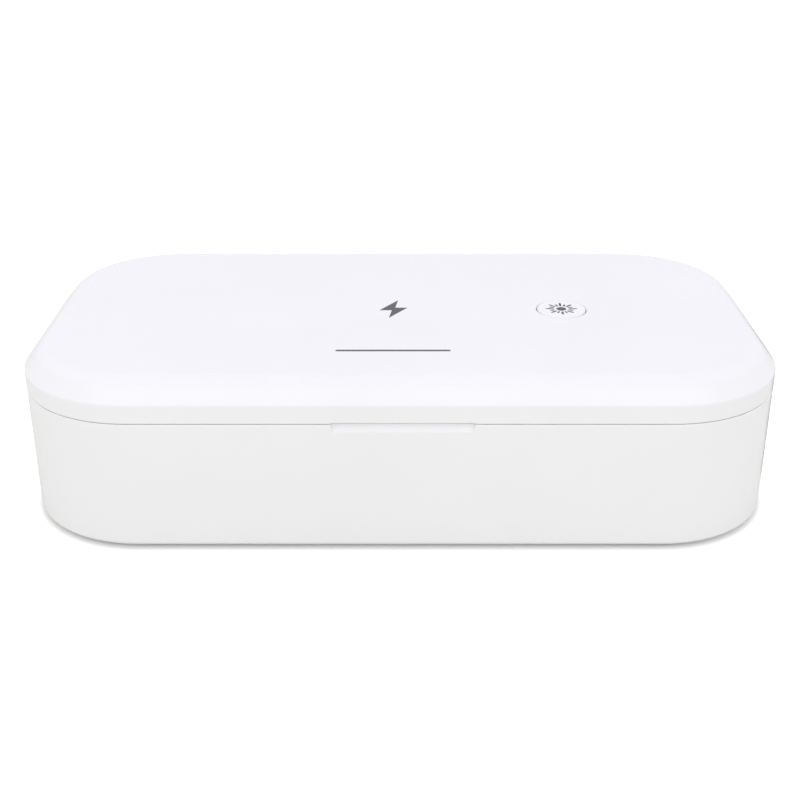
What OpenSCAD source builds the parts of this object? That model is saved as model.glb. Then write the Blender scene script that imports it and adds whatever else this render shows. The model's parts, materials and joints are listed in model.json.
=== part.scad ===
// Ultraviolet sanitizer box for phones: a rounded case whose hinged lid closes
// over a lit chamber, with a charging coil and a start button in the lid.
// Millimetres. +Z is up, the front of the case looks towards -Y, and the origin
// lies on the table, under the middle of the whole footprint.

/* [Case] */
// Width of the case
body_w = 220; // [200:1:240]
// Depth of the case, front to back
body_d = 118; // [114:1:130]
// Radius of the four upright corners
corner_r = 35; // [33:1:40]
// Wall of both shells
wall_t = 2.5; // [2.3:0.1:3]
// Height of the base's upper edge above the table
seam_z = 39.5; // [37:0.5:45]
// Floor of the base
floor_t = 2.2; // [1.8:0.1:2.6]
// Rounding of the bottom edge
bottom_edge_r = 1.5; // [0.8:0.1:2]
// Gap between the base and the closed lid
seam_gap = 0.2; // [0.15:0.05:0.5]
// Chamfer of both edges at the seam
seam_chamfer = 0.2; // [0.1:0.05:0.5]

/* [Lid] */
// Upright band of the lid above the seam
lid_band_h = 5.6; // [4.9:0.1:7]
// Height of the sloping rim
bevel_drop = 6.1; // [5.8:0.1:8]
// How far the sloping rim runs inwards
bevel_run = 5.3; // [4:0.1:6]
// Soft blend from the rim into the flat top
bevel_blend_r = 6; // [2:0.5:8]
// Small rounding where the rim meets the upright band
bevel_edge_r = 1; // [0.5:0.1:2]
// Thickness of the lid's top
lid_top_t = 2.2; // [1.8:0.1:2.6]

/* [Finger notch] */
// How far the middle of the notch lies to the right of the case's middle
notch_x = 0.8; // [-5:0.1:5]
// Width of the scoop in the front edge
notch_w = 39.5; // [30:0.5:60]
// Height of the scoop
notch_h = 2.2; // [2:0.1:5]
// Depth of the scoop at the seam
notch_depth = 1; // [0.8:0.1:2]
// Height of the slot that the lid's edge leaves over the scoop
notch_slot_h = 0.4; // [0.3:0.1:1.1]
// How far each end of the scoop slopes inwards
notch_end_run = 0.7; // [0.5:0.1:3]

/* [Hinge] */
// Distance between the middles of the two hinges
hinge_span = 104; // [80:1:112]
// Length of one hinge
hinge_w = 30; // [24:1:36]
// Length of the lid's knuckle in the middle of a hinge
lid_knuckle_w = 13; // [9:0.5:16]
// Radius of the knuckles
knuckle_r = 2.2; // [2:0.1:2.3]
// Radius of the steel pins
pin_r = 0.9; // [0.7:0.05:1]
// How far the pins lie behind the rear wall
hinge_out = 0.6; // [0.5:0.1:1]
// Angle at which the open lid meets its stop
lid_open_angle = 105; // [95:1:115]
// Length of the stop that carries the open lid
stop_reach = 3.3; // [3:0.1:4]
// Depth of the web under each base knuckle
gusset_h = 7; // [5:0.5:10]

/* [Chamber] */
// Height of the chamber floor above the table
chamber_floor_z = 11; // [10.5:0.5:13]
// Wall and floor of the chamber tray
tray_t = 1.8; // [1.6:0.1:2]
// Strip between the shell and the mouth of the chamber
chamber_margin = 6; // [5.8:0.1:8]
// How far the chamber wall leans in towards its floor
chamber_lean = 2.5; // [1:0.1:4]
// Rounding between the chamber wall and floor
chamber_fillet_r = 5; // [3:0.5:7]
// Distance of the tray screws from the corner axes, sideways
tray_screw_out = 15; // [10:0.5:17]
// Distance of the tray screws from the middle, front to back
tray_screw_y = 14; // [10:0.5:18]
// Height of the phone rests above the chamber floor
rest_h = 4; // [2.5:0.5:6]
// Width of a phone rest
rest_w = 4; // [3:0.5:6]
// Length of a phone rest
rest_len = 70; // [50:1:76]
// Distance between neighbouring rests
rest_pitch = 54; // [44:1:58]

/* [Light seal] */
// How far the seal reaches below the lid's edge
seal_h = 3; // [2:0.1:4]
// Thickness of the seal
seal_t = 1.5; // [1.2:0.1:2]
// How deep the seal sits in the inner panel
seal_root = 0.8; // [0.5:0.1:1]
// Thickness of the lid's inner panel
panel_t = 1.8; // [1.7:0.1:2]

/* [Ultraviolet lamps] */
// Distance between the two lamps of one strip
lamp_pitch = 110; // [90:1:120]
// Distance of each strip from the middle, front to back
lamp_row_y = 30; // [29:0.5:31]
// Radius of the quartz windows
window_r = 5; // [4.5:0.1:6]
// Thickness of the quartz windows
window_t = 1.2; // [0.8:0.1:1.2]
// Edge length of a lamp package
lamp_size = 3.5; // [2.8:0.1:5]
// Height of a lamp package
lamp_h = 1.5; // [1:0.1:1.6]
// Length of a lamp board
strip_len = 130; // [128:1:140]
// Width of a lamp board
strip_w = 12; // [8:0.5:12]
// Thickness of all circuit boards
board_t = 1.2; // [0.8:0.1:1.2]

/* [Start button] */
// Distance of the button to the right of the middle
button_x = 50; // [48:0.5:56]
// Distance of the button in front of the middle
button_front = 1.7; // [0:0.1:8]
// Radius of the button
button_r = 7.5; // [6:0.1:9]
// Gap round the button
button_gap = 0.25; // [0.2:0.05:0.4]
// How far the button stands above the lid
button_proud = 0.15; // [0:0.05:0.5]
// Depth of the hollow in the button's top
button_dish = 0.25; // [0.1:0.05:0.5]
// How far the button travels
button_travel = 0.5; // [0.3:0.05:0.6]

/* [Charging coil] */
// Outer radius of the coil
coil_r = 25; // [20:0.5:25]
// Radius of the coil's open middle
coil_bore_r = 10.5; // [8:0.5:14]
// Thickness of the coil
coil_t = 1; // [0.6:0.1:1.2]
// Thickness of the ferrite sheet
ferrite_t = 0.8; // [0.5:0.1:1]

/* [Rear socket] */
// Width of the socket
socket_w = 8.94; // [7:0.01:9.5]
// Height of the socket
socket_h = 3.26; // [2.6:0.01:3.5]
// Length of the socket
socket_len = 7.3; // [6:0.1:9]
// How far the socket's mouth lies inside the rear wall
socket_recess = 0.9; // [0.5:0.1:2]

/* [Feet] */
// Height of the rubber feet below the case
foot_h = 1; // [0.6:0.1:2]
// Radius of the feet
foot_r = 6; // [4:0.5:7]
// Depth of the recess that holds a foot
foot_recess = 0.8; // [0.5:0.1:1]

/* [Hidden] */
$fn = 96;

// Clearances shared by pieces that fit together
fit_gap = 0.3;
seat_gap = 0.2;
snug_gap = 0.1;
pin_fit = 0.03;
running_fit = 0.06;
stop_gap = 0.1;
cut_over = 1;

// Case: the corner axes carry every swept profile
corner_x = body_w / 2 - corner_r;
corner_y = body_d / 2 - corner_r;
inner_r = corner_r - wall_t;
rear_y = body_d / 2;
rear_inner_y = rear_y - wall_t;
floor_z = foot_h;
floor_top_z = floor_z + floor_t;
lid_z = seam_z + seam_gap;
bevel_z = lid_z + lid_band_h;
top_z = bevel_z + bevel_drop;
ceiling_z = top_z - lid_top_t;
corner_signs = [[1, 1], [-1, 1], [-1, -1], [1, -1]];

// Sloping rim: its outward normal carries the inner face of the lid
bevel_normal = [bevel_drop, bevel_run] / norm([bevel_drop, bevel_run]);
bevel_inside = bevel_normal * [corner_r, bevel_z] - wall_t;
bevel_inner_z = (bevel_inside - bevel_normal[0] * inner_r) / bevel_normal[1];
bevel_inner_r = (bevel_inside - bevel_normal[1] * ceiling_z) / bevel_normal[0];

// Hinge axis, and the footprint that the hinges add behind the case
hinge_y = rear_y + hinge_out;
hinge_z = seam_z + seam_gap / 2;
base_knuckle_w = (hinge_w - lid_knuckle_w) / 2 - fit_gap;
relief_r = knuckle_r + fit_gap;
fairing_drop = 0.6;
fairing_angle = 25;
fairing_h = lid_band_h - fairing_drop;
pin_end_wall = 1.5;
stop_normal = [-cos(lid_open_angle), sin(lid_open_angle)];
stop_along = [sin(lid_open_angle), cos(lid_open_angle)];
stop_face = hinge_out - stop_gap;
stop_tip = stop_face * stop_normal + stop_reach * stop_along;
stop_tip_h = 0.9;
case_shift = -(hinge_out + stop_tip[0]) / 2;

// Inner panel and the light seal that hangs from its edge
panel_recess = 0.4;
panel_r = inner_r - fit_gap;
panel_z = lid_z + panel_recess;
panel_top_z = panel_z + panel_t;
seal_z = lid_z - seal_h;
seal_gap = 0.3;
seal_edge_r = 0.5;

// Chamber tray
flange_z = seal_z - seal_gap;
tray_under_z = chamber_floor_z - tray_t;
mouth_r = inner_r - chamber_margin;
chamber_floor_r = mouth_r - chamber_lean;
tray_boss_h = 2.8;
tray_boss_z = floor_top_z + tray_boss_h;
tray_screw_x = corner_x + tray_screw_out;
screw_r = 1.25;
screw_head_r = 2.5;
screw_head_h = 1.8;
screw_head_recess = 2.8;
tray_screw_len = 6.4;
boss_r = 3.2;
shell_boss_r = 4.2;
groove_depth = 0.6;
rest_count = 4;
rest_edge_r = 1.2;

// Rubber feet
foot_out = [11, 16];
foot_round_share = 0.7;

// Lamp strips, the same in base and lid
window_seat_w = 1;
lamp_x = lamp_pitch / 2;
stake_x = 35;
stake_r = 1;
stake_out = 0.6;
post_r = 2.5;
base_strip_z = tray_under_z - seat_gap - lamp_h - board_t;
lid_strip_z = panel_top_z + seat_gap + lamp_h;
lamp_cap_r = 1.3;
lamp_cap_h = 0.4;

// Main board with the rear socket
main_board_w = 80;
main_board_d = 15.5;
main_board_post_h = 2;
main_board_z = floor_top_z + main_board_post_h;
main_board_top_z = main_board_z + board_t;
main_board_y = rear_inner_y - fit_gap - main_board_d / 2;
main_screw_inset = [4, 3.5];
main_screw_x = main_board_w / 2 - main_screw_inset[0];
main_screw_y = main_board_d / 2 - main_screw_inset[1];
driver_size = [6, 6, 1];
driver_x = -18;
choke_size = [5, 5, 1.8];
choke_x = -27.5;
regulator_size = [5, 4, 1.2];
regulator_x = 17;
capacitor_r = 1.6;
capacitor_h = 1.8;
capacitor_x = 24;
capacitor_pitch = 4.5;
part_step = 1.5;
small_screw_r = 1;
small_head_r = 1.9;
small_head_h = 1.1;
small_screw_len = 3.2;
head_round_share = 0.6;
socket_edge_r = 1.3;
socket_skin = 0.35;
socket_gap = 0.3;
contact_t = 0.7;
contact_w = 5.6;

// Magnets and the lid sensor
magnet_x = 60;
magnet_w = 10;
magnet_t = 3;
base_magnet_h = 6;
lid_magnet_h = 2.2;
lid_magnet_in = 4.2;
rib_t = 1.2;
ledge_t = 1.8;
flange_under_z = flange_z - tray_t;
sensor_w = 12;
sensor_h = 9;
reed_r = 1;
reed_len = 10;
sensor_magnet_r = 2;
sensor_magnet_h = 2;
sensor_magnet_in = 4.5;
pocket_h = 1.4;

// Start button and its switch
button_y = -button_front;
button_hole_r = button_r + button_gap;
button_edge_r = 0.4;
button_flange_r = button_r + 1.3;
button_flange_t = 0.8;
button_stem_r = 2;
button_stem_h = 0.5;
button_key_w = 2;
button_key_reach = 1;
guide_t = 1.2;
guide_h = 2.6;
plunger_out = 0.8;
plunger_r = 1.6;
plunger_in = 1.4;
switch_w = 6;
switch_h = 2.6;
plunger_top_z = ceiling_z - seat_gap - button_flange_t - button_stem_h;
switch_top_z = plunger_top_z - plunger_out;
switch_board_z = switch_top_z - switch_h - board_t;
switch_board_w = 24;
switch_board_d = 20;
indicator_y = -6.5;
indicator_size = [3.2, 1.6, 1.1];

// Charging coil, ferrite and carrier, under the middle of the lid
coil_x = -2;
coil_y = -button_front;
coil_z = ceiling_z - seat_gap - coil_t;
ferrite_z = coil_z - ferrite_t;
ferrite_r = coil_r + 1;
carrier_t = 1.2;
carrier_z = ferrite_z - carrier_t;
carrier_post_x = ferrite_r + post_r;
carrier_post_y = lamp_row_y - strip_w / 2 - button_front - small_head_r - 2 * fit_gap;
carrier_edge = 4.5;
carrier_corner_r = 3.75;
carrier_w = 2 * (carrier_post_x + carrier_edge);
carrier_d = 2 * (carrier_post_y + carrier_edge);
coil_rib_h = 0.9;
charging_board_w = 44;
charging_board_d = 30;
charging_board_space = 9;
charging_board_x = coil_x - carrier_w / 2 - charging_board_space - charging_board_w / 2;
charging_board_post_h = 1.2;
charging_board_z = panel_top_z + charging_board_post_h;
stake_inset = post_r + 1;
controller_size = [7, 7, 0.9];
bridge_size = [4, 4, 1.4];
bridge_at = [-9, 5];
resonance_size = [3.2, 2.5, 1.4];
resonance_x = 10;
resonance_pitch = 4;
resonance_count = 3;

// Screws that hold the inner panel in the lid
panel_screw_len = 6;
panel_boss_gap = 0.05;
panel_screw_out = [15, 8];
panel_screw_edge = 10;
panel_screw_x = corner_x + panel_screw_out[0];
panel_screw_y = corner_y + panel_screw_out[1];
panel_screws_at = concat(
    [for (s = corner_signs) [s[0] * panel_screw_x, s[1] * panel_screw_y]],
    [for (side = [-1, 1]) [0, side * (corner_y + inner_r - panel_screw_edge)]]);

// ---------- Shapes that repeat ----------

function unit(v) = v / norm(v);
function flat(p) = [p[0], p[1]];

// Start, centre and end of the arc that rounds corner p between a and b
function blend(a, p, b, r) =
    let (to_a = unit(a - p), to_b = unit(b - p), half = acos(to_a * to_b) / 2)
    [p + r / tan(half) * to_a, p + r / sin(half) * unit(to_a + to_b), p + r / tan(half) * to_b];

// Outline whose points are [x, y] or, with a rounded outer corner, [x, y, radius]
module rounded_profile(points) {
    n = len(points);
    corners = [for (i = [0:n - 1])
        len(points[i]) == 3
            ? blend(flat(points[(i + n - 1) % n]), flat(points[i]), flat(points[(i + 1) % n]), points[i][2])
            : [points[i]]];
    polygon([for (corner = corners) each len(corner) == 3 ? [corner[0], corner[2]] : corner]);
    for (i = [0:n - 1]) {
        if (len(points[i]) == 3) {
            intersection() {
                translate(corners[i][1]) circle(r = points[i][2]);
                polygon([
                    corners[i][1],
                    2 * corners[i][0] - corners[i][1],
                    2 * corners[i][2] - corners[i][1]]);
            }
        }
    }
}

// Rectangle with four rounded corners, centred
module rounded_plate(w, d, r, h) {
    linear_extrude(h) rounded_profile([for (s = corner_signs) [s[0] * w / 2, s[1] * d / 2, r]]);
}

// Carries a profile once round the case: its x runs outwards from the corner
// axes and its y is the height
module round_the_case() {
    for (i = [0:3]) {
        translate([corner_signs[i][0] * corner_x, corner_signs[i][1] * corner_y, 0])
            rotate(90 * i) rotate_extrude(angle = 90) children();
    }
    for (turn = [0, 180]) {
        rotate(turn) {
            translate([-corner_x, corner_y, 0]) rotate([90, 0, 90]) linear_extrude(2 * corner_x) children();
            translate([corner_x, corner_y, 0]) rotate([90, 0, 0]) linear_extrude(2 * corner_y) children();
        }
    }
}

// Plate between the four corner axes
module middle_plate(z, h) {
    translate([-corner_x, -corner_y, z]) cube([2 * corner_x, 2 * corner_y, h]);
}

// Bar along X with a profile in the Y-Z plane of the hinge axis
module hinge_bar(x, w) {
    translate([x - w / 2, hinge_y, hinge_z]) rotate([90, 0, 90]) linear_extrude(w) children();
}

// Round bar on the hinge axis
module hinge_rod(x, w, r) {
    translate([x - w / 2, hinge_y, hinge_z]) rotate([0, 90, 0]) cylinder(r = r, h = w);
}

// Upright block whose middle stands at x, y
module block(x, y, z, w, d, h) {
    translate([x - w / 2, y - d / 2, z]) cube([w, d, h]);
}

// Block of a given size that stands on a circuit board at z = 0
module chip(x, y, size) {
    block(x, y, 0, size[0], size[1], size[2]);
}

// The four places of one lamp set
module at_lamps() {
    for (sx = [-1, 1]) {
        for (sy = [-1, 1]) {
            translate([sx * lamp_x, sy * lamp_row_y, 0]) children();
        }
    }
}

// The four stakes that hold the two lamp boards of one shell
module at_stakes() {
    for (sx = [-1, 1]) {
        for (sy = [-1, 1]) {
            translate([sx * stake_x, sy * lamp_row_y, 0]) children();
        }
    }
}

// The four places at +-x, +-y round a middle
module at_corners(x, y, dx, dy) {
    for (s = corner_signs) {
        translate([x + s[0] * dx, y + s[1] * dy, 0]) children();
    }
}

// Post from z up to the board it carries, with a stake through the board
module staked_post(z, board_z) {
    translate([0, 0, z]) cylinder(r = post_r, h = board_z - z);
    translate([0, 0, board_z]) cylinder(r = stake_r, h = board_t + stake_out);
}

// Pan-head screw: the head's flat face lies at z = 0 and the thread points up
module screw(r, len, head_r, head_h) {
    cylinder(r = r, h = len);
    rotate_extrude() rounded_profile([
        [0, 0],
        [0, -head_h],
        [head_r, -head_h, head_h * head_round_share],
        [head_r, 0]]);
}

// Moves a piece from the middle of the case to the middle of the footprint
module on_footprint() {
    translate([0, case_shift, 0]) children();
}

// ---------- Base ----------

module base_wall() {
    difference() {
        rounded_profile([
            [0, floor_z],
            [corner_r, floor_z, bottom_edge_r],
            [corner_r, seam_z - seam_chamfer],
            [corner_r - seam_chamfer, seam_z],
            [0, seam_z]]);
        translate([-cut_over, floor_top_z]) square([inner_r + cut_over, seam_z]);
    }
}

// Scoop that a fingertip finds under the lid's edge: an arc with sloping ends
module finger_scoop() {
    rise = notch_h + cut_over;
    run = notch_depth + cut_over;
    scoop_r = (notch_h * notch_h + notch_depth * notch_depth) / (2 * notch_depth);
    translate([notch_x, -rear_y, seam_z]) intersection() {
        translate([-notch_w / 2, notch_depth - scoop_r, 0]) rotate([0, 90, 0])
            cylinder(r = scoop_r, h = notch_w);
        translate([0, run, 0]) rotate([90, 0, 0]) linear_extrude(2 * run) polygon([
            [-notch_w / 2 + notch_end_run, -rise],
            [notch_w / 2 - notch_end_run, -rise],
            [notch_w / 2, 0],
            [notch_w / 2, cut_over],
            [-notch_w / 2, cut_over],
            [-notch_w / 2, 0]]);
    }
}

// Knuckle of the base with the web that carries it and stops the open lid
module base_knuckle(x) {
    hinge_rod(x, base_knuckle_w, knuckle_r);
    hinge_bar(x, base_knuckle_w) polygon([
        stop_face * stop_normal,
        stop_tip,
        stop_tip - [0, stop_tip_h],
        [-hinge_out, -gusset_h],
        [-hinge_out - wall_t / 2, -gusset_h],
        [-hinge_out - wall_t / 2, -seam_gap / 2]]);
}

module base_knuckles() {
    for (side = [-1, 1]) {
        for (end = [-1, 1]) {
            base_knuckle(side * hinge_span / 2 + end * (hinge_w - base_knuckle_w) / 2);
        }
    }
}

// Bores of both hinges, open towards the middle of the case
module pin_bores(r) {
    for (side = [-1, 1]) {
        hinge_rod(side * (hinge_span / 2 - pin_end_wall), hinge_w, r);
    }
}

// Pocket against the inner face of a wall that looks towards -Y at the origin:
// two ribs from the floor and a ledge between them
module wall_pocket(w, ledge_z, depth) {
    for (side = [-1, 1]) {
        block(side * (w / 2 + snug_gap + rib_t / 2), depth / 2, floor_top_z - cut_over, rib_t, depth,
            flange_under_z - seat_gap - floor_top_z + cut_over);
    }
    block(0, ledge_t / 2, floor_top_z - cut_over, w + 2 * snug_gap + cut_over, ledge_t,
        ledge_z - floor_top_z + cut_over);
}

module base_shell() {
    color("white") on_footprint() difference() {
        union() {
            round_the_case() base_wall();
            middle_plate(floor_z, floor_t);
            base_knuckles();
            at_corners(0, 0, tray_screw_x, tray_screw_y)
                translate([0, 0, floor_z + floor_t / 2])
                    cylinder(r = shell_boss_r, h = tray_boss_z - floor_z - floor_t / 2);
            at_stakes() staked_post(floor_top_z - cut_over, base_strip_z);
            at_corners(0, main_board_y, main_screw_x, main_screw_y)
                translate([0, 0, floor_top_z - cut_over])
                    cylinder(r = post_r, h = main_board_z - floor_top_z + cut_over);
            for (side = [-1, 1]) {
                translate([side * magnet_x, -rear_inner_y - snug_gap, 0])
                    wall_pocket(magnet_w, flange_under_z - seat_gap - base_magnet_h, magnet_t + snug_gap);
            }
            translate([corner_x + inner_r + snug_gap, 0, 0]) rotate(90)
                wall_pocket(sensor_w, flange_under_z - seat_gap - sensor_h, magnet_t + snug_gap);
        }
        finger_scoop();
        for (side = [-1, 1]) {
            hinge_rod(side * hinge_span / 2, lid_knuckle_w + 2 * fit_gap, relief_r);
        }
        pin_bores(pin_r + pin_fit);
        at_corners(0, 0, tray_screw_x, tray_screw_y) {
            translate([0, 0, floor_z - cut_over])
                cylinder(r = screw_head_r + seat_gap, h = screw_head_recess + cut_over);
            translate([0, 0, floor_z]) cylinder(r = screw_r + seat_gap, h = tray_boss_z);
        }
        at_corners(0, main_board_y, main_screw_x, main_screw_y)
            translate([0, 0, floor_top_z]) cylinder(r = small_screw_r + pin_fit, h = main_board_z);
        at_feet() translate([0, 0, floor_z - cut_over])
            cylinder(r = foot_r + seat_gap, h = foot_recess + cut_over);
        translate([0, rear_inner_y - cut_over, socket_mid_z()]) rotate([-90, 0, 0])
            socket_outline(socket_gap, wall_t + 2 * cut_over);
    }
}

function socket_mid_z() = main_board_top_z + socket_h / 2;

// Outline of the rear socket grown by a gap, as a bar along Y
module socket_outline(grow, len) {
    rounded_plate(socket_w + 2 * grow, socket_h + 2 * grow, socket_edge_r + grow, len);
}

module at_feet() {
    at_corners(0, 0, corner_x + foot_out[0], corner_y + foot_out[1]) children();
}

module rubber_feet() {
    color("dimgray") on_footprint() at_feet()
        rotate_extrude() rounded_profile([
            [0, 0],
            [foot_r, 0, foot_h * foot_round_share],
            [foot_r, foot_h + foot_recess],
            [0, foot_h + foot_recess]]);
}

module hinge_pins() {
    color("silver") on_footprint() for (side = [-1, 1]) {
        hinge_rod(side * (hinge_span / 2 - pin_end_wall / 2 + seat_gap / 2),
            hinge_w - pin_end_wall - seat_gap, pin_r);
    }
}

// Tray: mouth, leaning wall, rounded foot and floor as one swept profile
module tray_wall() {
    difference() {
        union() {
            rounded_profile([
                [0, tray_under_z],
                [chamber_floor_r + tray_t, tray_under_z, chamber_fillet_r + tray_t],
                [mouth_r + tray_t, flange_z - tray_t / 2],
                [0, flange_z - tray_t / 2]]);
            rounded_profile([
                [0, flange_under_z],
                [panel_r, flange_under_z],
                [panel_r, flange_z, tray_t / 2],
                [0, flange_z]]);
        }
        rounded_profile([
            [-chamber_fillet_r, chamber_floor_z],
            [chamber_floor_r, chamber_floor_z, chamber_fillet_r],
            [mouth_r, flange_z],
            [mouth_r, flange_z + cut_over],
            [-chamber_fillet_r, flange_z + cut_over]]);
    }
}

module at_rests() {
    for (i = [0:rest_count - 1]) {
        translate([(i - (rest_count - 1) / 2) * rest_pitch, 0, 0]) children();
    }
}

module chamber_tray() {
    color("gainsboro") on_footprint() difference() {
        union() {
            round_the_case() tray_wall();
            middle_plate(tray_under_z, tray_t);
            at_corners(0, 0, tray_screw_x, tray_screw_y)
                translate([0, 0, tray_boss_z])
                    cylinder(r = boss_r, h = tray_under_z + tray_t / 2 - tray_boss_z);
        }
        at_lamps() {
            translate([0, 0, chamber_floor_z - window_t])
                cylinder(r = window_r + snug_gap, h = window_t + cut_over);
            translate([0, 0, tray_under_z - cut_over])
                cylinder(r = window_r - window_seat_w, h = tray_t + cut_over);
        }
        at_rests() block(0, 0, chamber_floor_z - groove_depth,
            rest_w + 2 * snug_gap, rest_len + 2 * snug_gap, groove_depth + cut_over);
        at_corners(0, 0, tray_screw_x, tray_screw_y)
            translate([0, 0, tray_boss_z - cut_over])
                cylinder(r = screw_r + pin_fit,
                    h = tray_screw_len - tray_boss_z + floor_z + screw_head_recess + cut_over);
    }
}

module phone_rests() {
    color("ghostwhite") on_footprint() at_rests()
        translate([0, rest_len / 2, 0]) rotate([90, 0, 0]) linear_extrude(rest_len) rounded_profile([
            [-rest_w / 2, chamber_floor_z - groove_depth],
            [rest_w / 2, chamber_floor_z - groove_depth],
            [rest_w / 2, chamber_floor_z + rest_h, rest_edge_r],
            [-rest_w / 2, chamber_floor_z + rest_h, rest_edge_r]]);
}

module tray_screws() {
    color("silver") on_footprint() at_corners(0, 0, tray_screw_x, tray_screw_y)
        translate([0, 0, floor_z + screw_head_recess])
            screw(screw_r, tray_screw_len - seat_gap, screw_head_r, screw_head_h);
}

module lamp_windows() {
    at_lamps() cylinder(r = window_r, h = window_t);
}

module base_lamp_windows() {
    color("lightcyan") on_footprint() translate([0, 0, chamber_floor_z - window_t]) lamp_windows();
}

// Two narrow boards, each held by two stakes
module lamp_boards(z) {
    difference() {
        for (side = [-1, 1]) {
            block(0, side * lamp_row_y, z, strip_len, strip_w, board_t);
        }
        at_stakes() translate([0, 0, z - cut_over])
            cylinder(r = stake_r + snug_gap, h = board_t + 2 * cut_over);
    }
}

// Square lamp package with a round cap, standing on z = 0
module lamp_package() {
    block(0, 0, 0, lamp_size, lamp_size, lamp_h - lamp_cap_h);
    translate([0, 0, lamp_h - lamp_cap_h]) cylinder(r = lamp_cap_r, h = lamp_cap_h);
}

module base_lamp_boards() {
    color("seagreen") on_footprint() lamp_boards(base_strip_z);
}

module base_lamps() {
    color("gold") on_footprint() translate([0, 0, base_strip_z + board_t]) at_lamps() lamp_package();
}

module main_board() {
    color("seagreen") on_footprint() difference() {
        block(0, main_board_y, main_board_z, main_board_w, main_board_d, board_t);
        at_corners(0, main_board_y, main_screw_x, main_screw_y)
            translate([0, 0, main_board_z - cut_over])
                cylinder(r = small_screw_r + snug_gap, h = board_t + 2 * cut_over);
    }
}

// Lamp driver, choke, regulator and two capacitors on the main board
module main_board_components() {
    color("darkslategray") on_footprint() translate([0, main_board_y, main_board_top_z]) {
        chip(driver_x, 0, driver_size);
        chip(choke_x, -part_step, choke_size);
        chip(regulator_x, -part_step, regulator_size);
        for (i = [0, 1]) {
            translate([capacitor_x + i * capacitor_pitch, part_step, 0])
                cylinder(r = capacitor_r, h = capacitor_h);
        }
    }
}

module main_board_screws() {
    color("silver") on_footprint() at_corners(0, main_board_y, main_screw_x, main_screw_y)
        translate([0, 0, main_board_top_z]) mirror([0, 0, 1])
            screw(small_screw_r, small_screw_len - seat_gap, small_head_r, small_head_h);
}

// Metal sleeve with its contact tongue inside
module usb_socket() {
    color("silver") on_footprint() translate([0, rear_y - socket_recess, socket_mid_z()]) rotate([90, 0, 0]) {
        difference() {
            socket_outline(0, socket_len);
            translate([0, 0, -cut_over])
                socket_outline(-socket_skin, socket_len - socket_recess + cut_over);
        }
        block(0, 0, socket_recess, contact_w, contact_t, socket_len - socket_recess);
    }
}

// Small upright board with a reed switch beside the chamber
module lid_sensor() {
    sensor_z = flange_under_z - seat_gap - sensor_h;
    color("seagreen") on_footprint() translate([corner_x + inner_r, 0, sensor_z]) {
        block(-board_t / 2, 0, 0, board_t, sensor_w, sensor_h);
        translate([-board_t - reed_r / 2, -reed_len / 2, sensor_h - 2 * reed_r]) rotate([-90, 0, 0])
            cylinder(r = reed_r, h = reed_len);
    }
}

module base_magnets() {
    color("slategray") on_footprint() for (side = [-1, 1]) {
        block(side * magnet_x, -rear_inner_y + magnet_t / 2, flange_under_z - seat_gap - base_magnet_h,
            magnet_w, magnet_t, base_magnet_h);
    }
}

// ---------- Lid ----------

module lid_wall() {
    difference() {
        rounded_profile([
            [0, lid_z],
            [corner_r - seam_chamfer, lid_z],
            [corner_r, lid_z + seam_chamfer],
            [corner_r, bevel_z, bevel_edge_r],
            [corner_r - bevel_run, top_z, bevel_blend_r],
            [0, top_z]]);
        polygon([
            [-cut_over, lid_z - cut_over],
            [inner_r, lid_z - cut_over],
            [inner_r, bevel_inner_z],
            [bevel_inner_r, ceiling_z],
            [-cut_over, ceiling_z]]);
    }
}

// Lid knuckle in the middle of each hinge, faired into the rear band
module lid_knuckles() {
    for (side = [-1, 1]) {
        hinge_rod(side * hinge_span / 2, lid_knuckle_w, knuckle_r);
        hinge_bar(side * hinge_span / 2, lid_knuckle_w) polygon([
            [-hinge_out - wall_t / 2, seam_gap / 2],
            [0, 0],
            knuckle_r * [cos(fairing_angle), sin(fairing_angle)],
            [-hinge_out, fairing_h],
            [-hinge_out - wall_t / 2, fairing_h]]);
    }
}

// Slot in the lid's front edge, over the finger scoop
module notch_slot() {
    translate([notch_x - notch_w / 2, -rear_y - cut_over, lid_z - cut_over])
        cube([notch_w, wall_t + 2 * cut_over, notch_slot_h + cut_over]);
}

module at_button() {
    translate([button_x, button_y, 0]) children();
}

module at_coil() {
    translate([coil_x, coil_y, 0]) children();
}

// Collar that guides the button's flange, with a slot for its key
module button_guide() {
    collar_r = button_flange_r + fit_gap;
    at_button() translate([0, 0, ceiling_z - guide_h]) difference() {
        cylinder(r = collar_r + guide_t, h = guide_h + lid_top_t / 2);
        translate([0, 0, -cut_over]) cylinder(r = collar_r, h = guide_h + cut_over);
        translate([-button_key_w / 2 - fit_gap, 0, -cut_over])
            cube([button_key_w + 2 * fit_gap, collar_r + guide_t + cut_over, guide_h + cut_over]);
    }
}

// Rib that centres the charging coil under the lid
module coil_rib() {
    at_coil() translate([0, 0, ceiling_z - coil_rib_h]) difference() {
        cylinder(r = coil_r + snug_gap + rib_t, h = coil_rib_h + lid_top_t / 2);
        translate([0, 0, -cut_over]) cylinder(r = coil_r + snug_gap, h = coil_rib_h + cut_over);
    }
}

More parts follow.
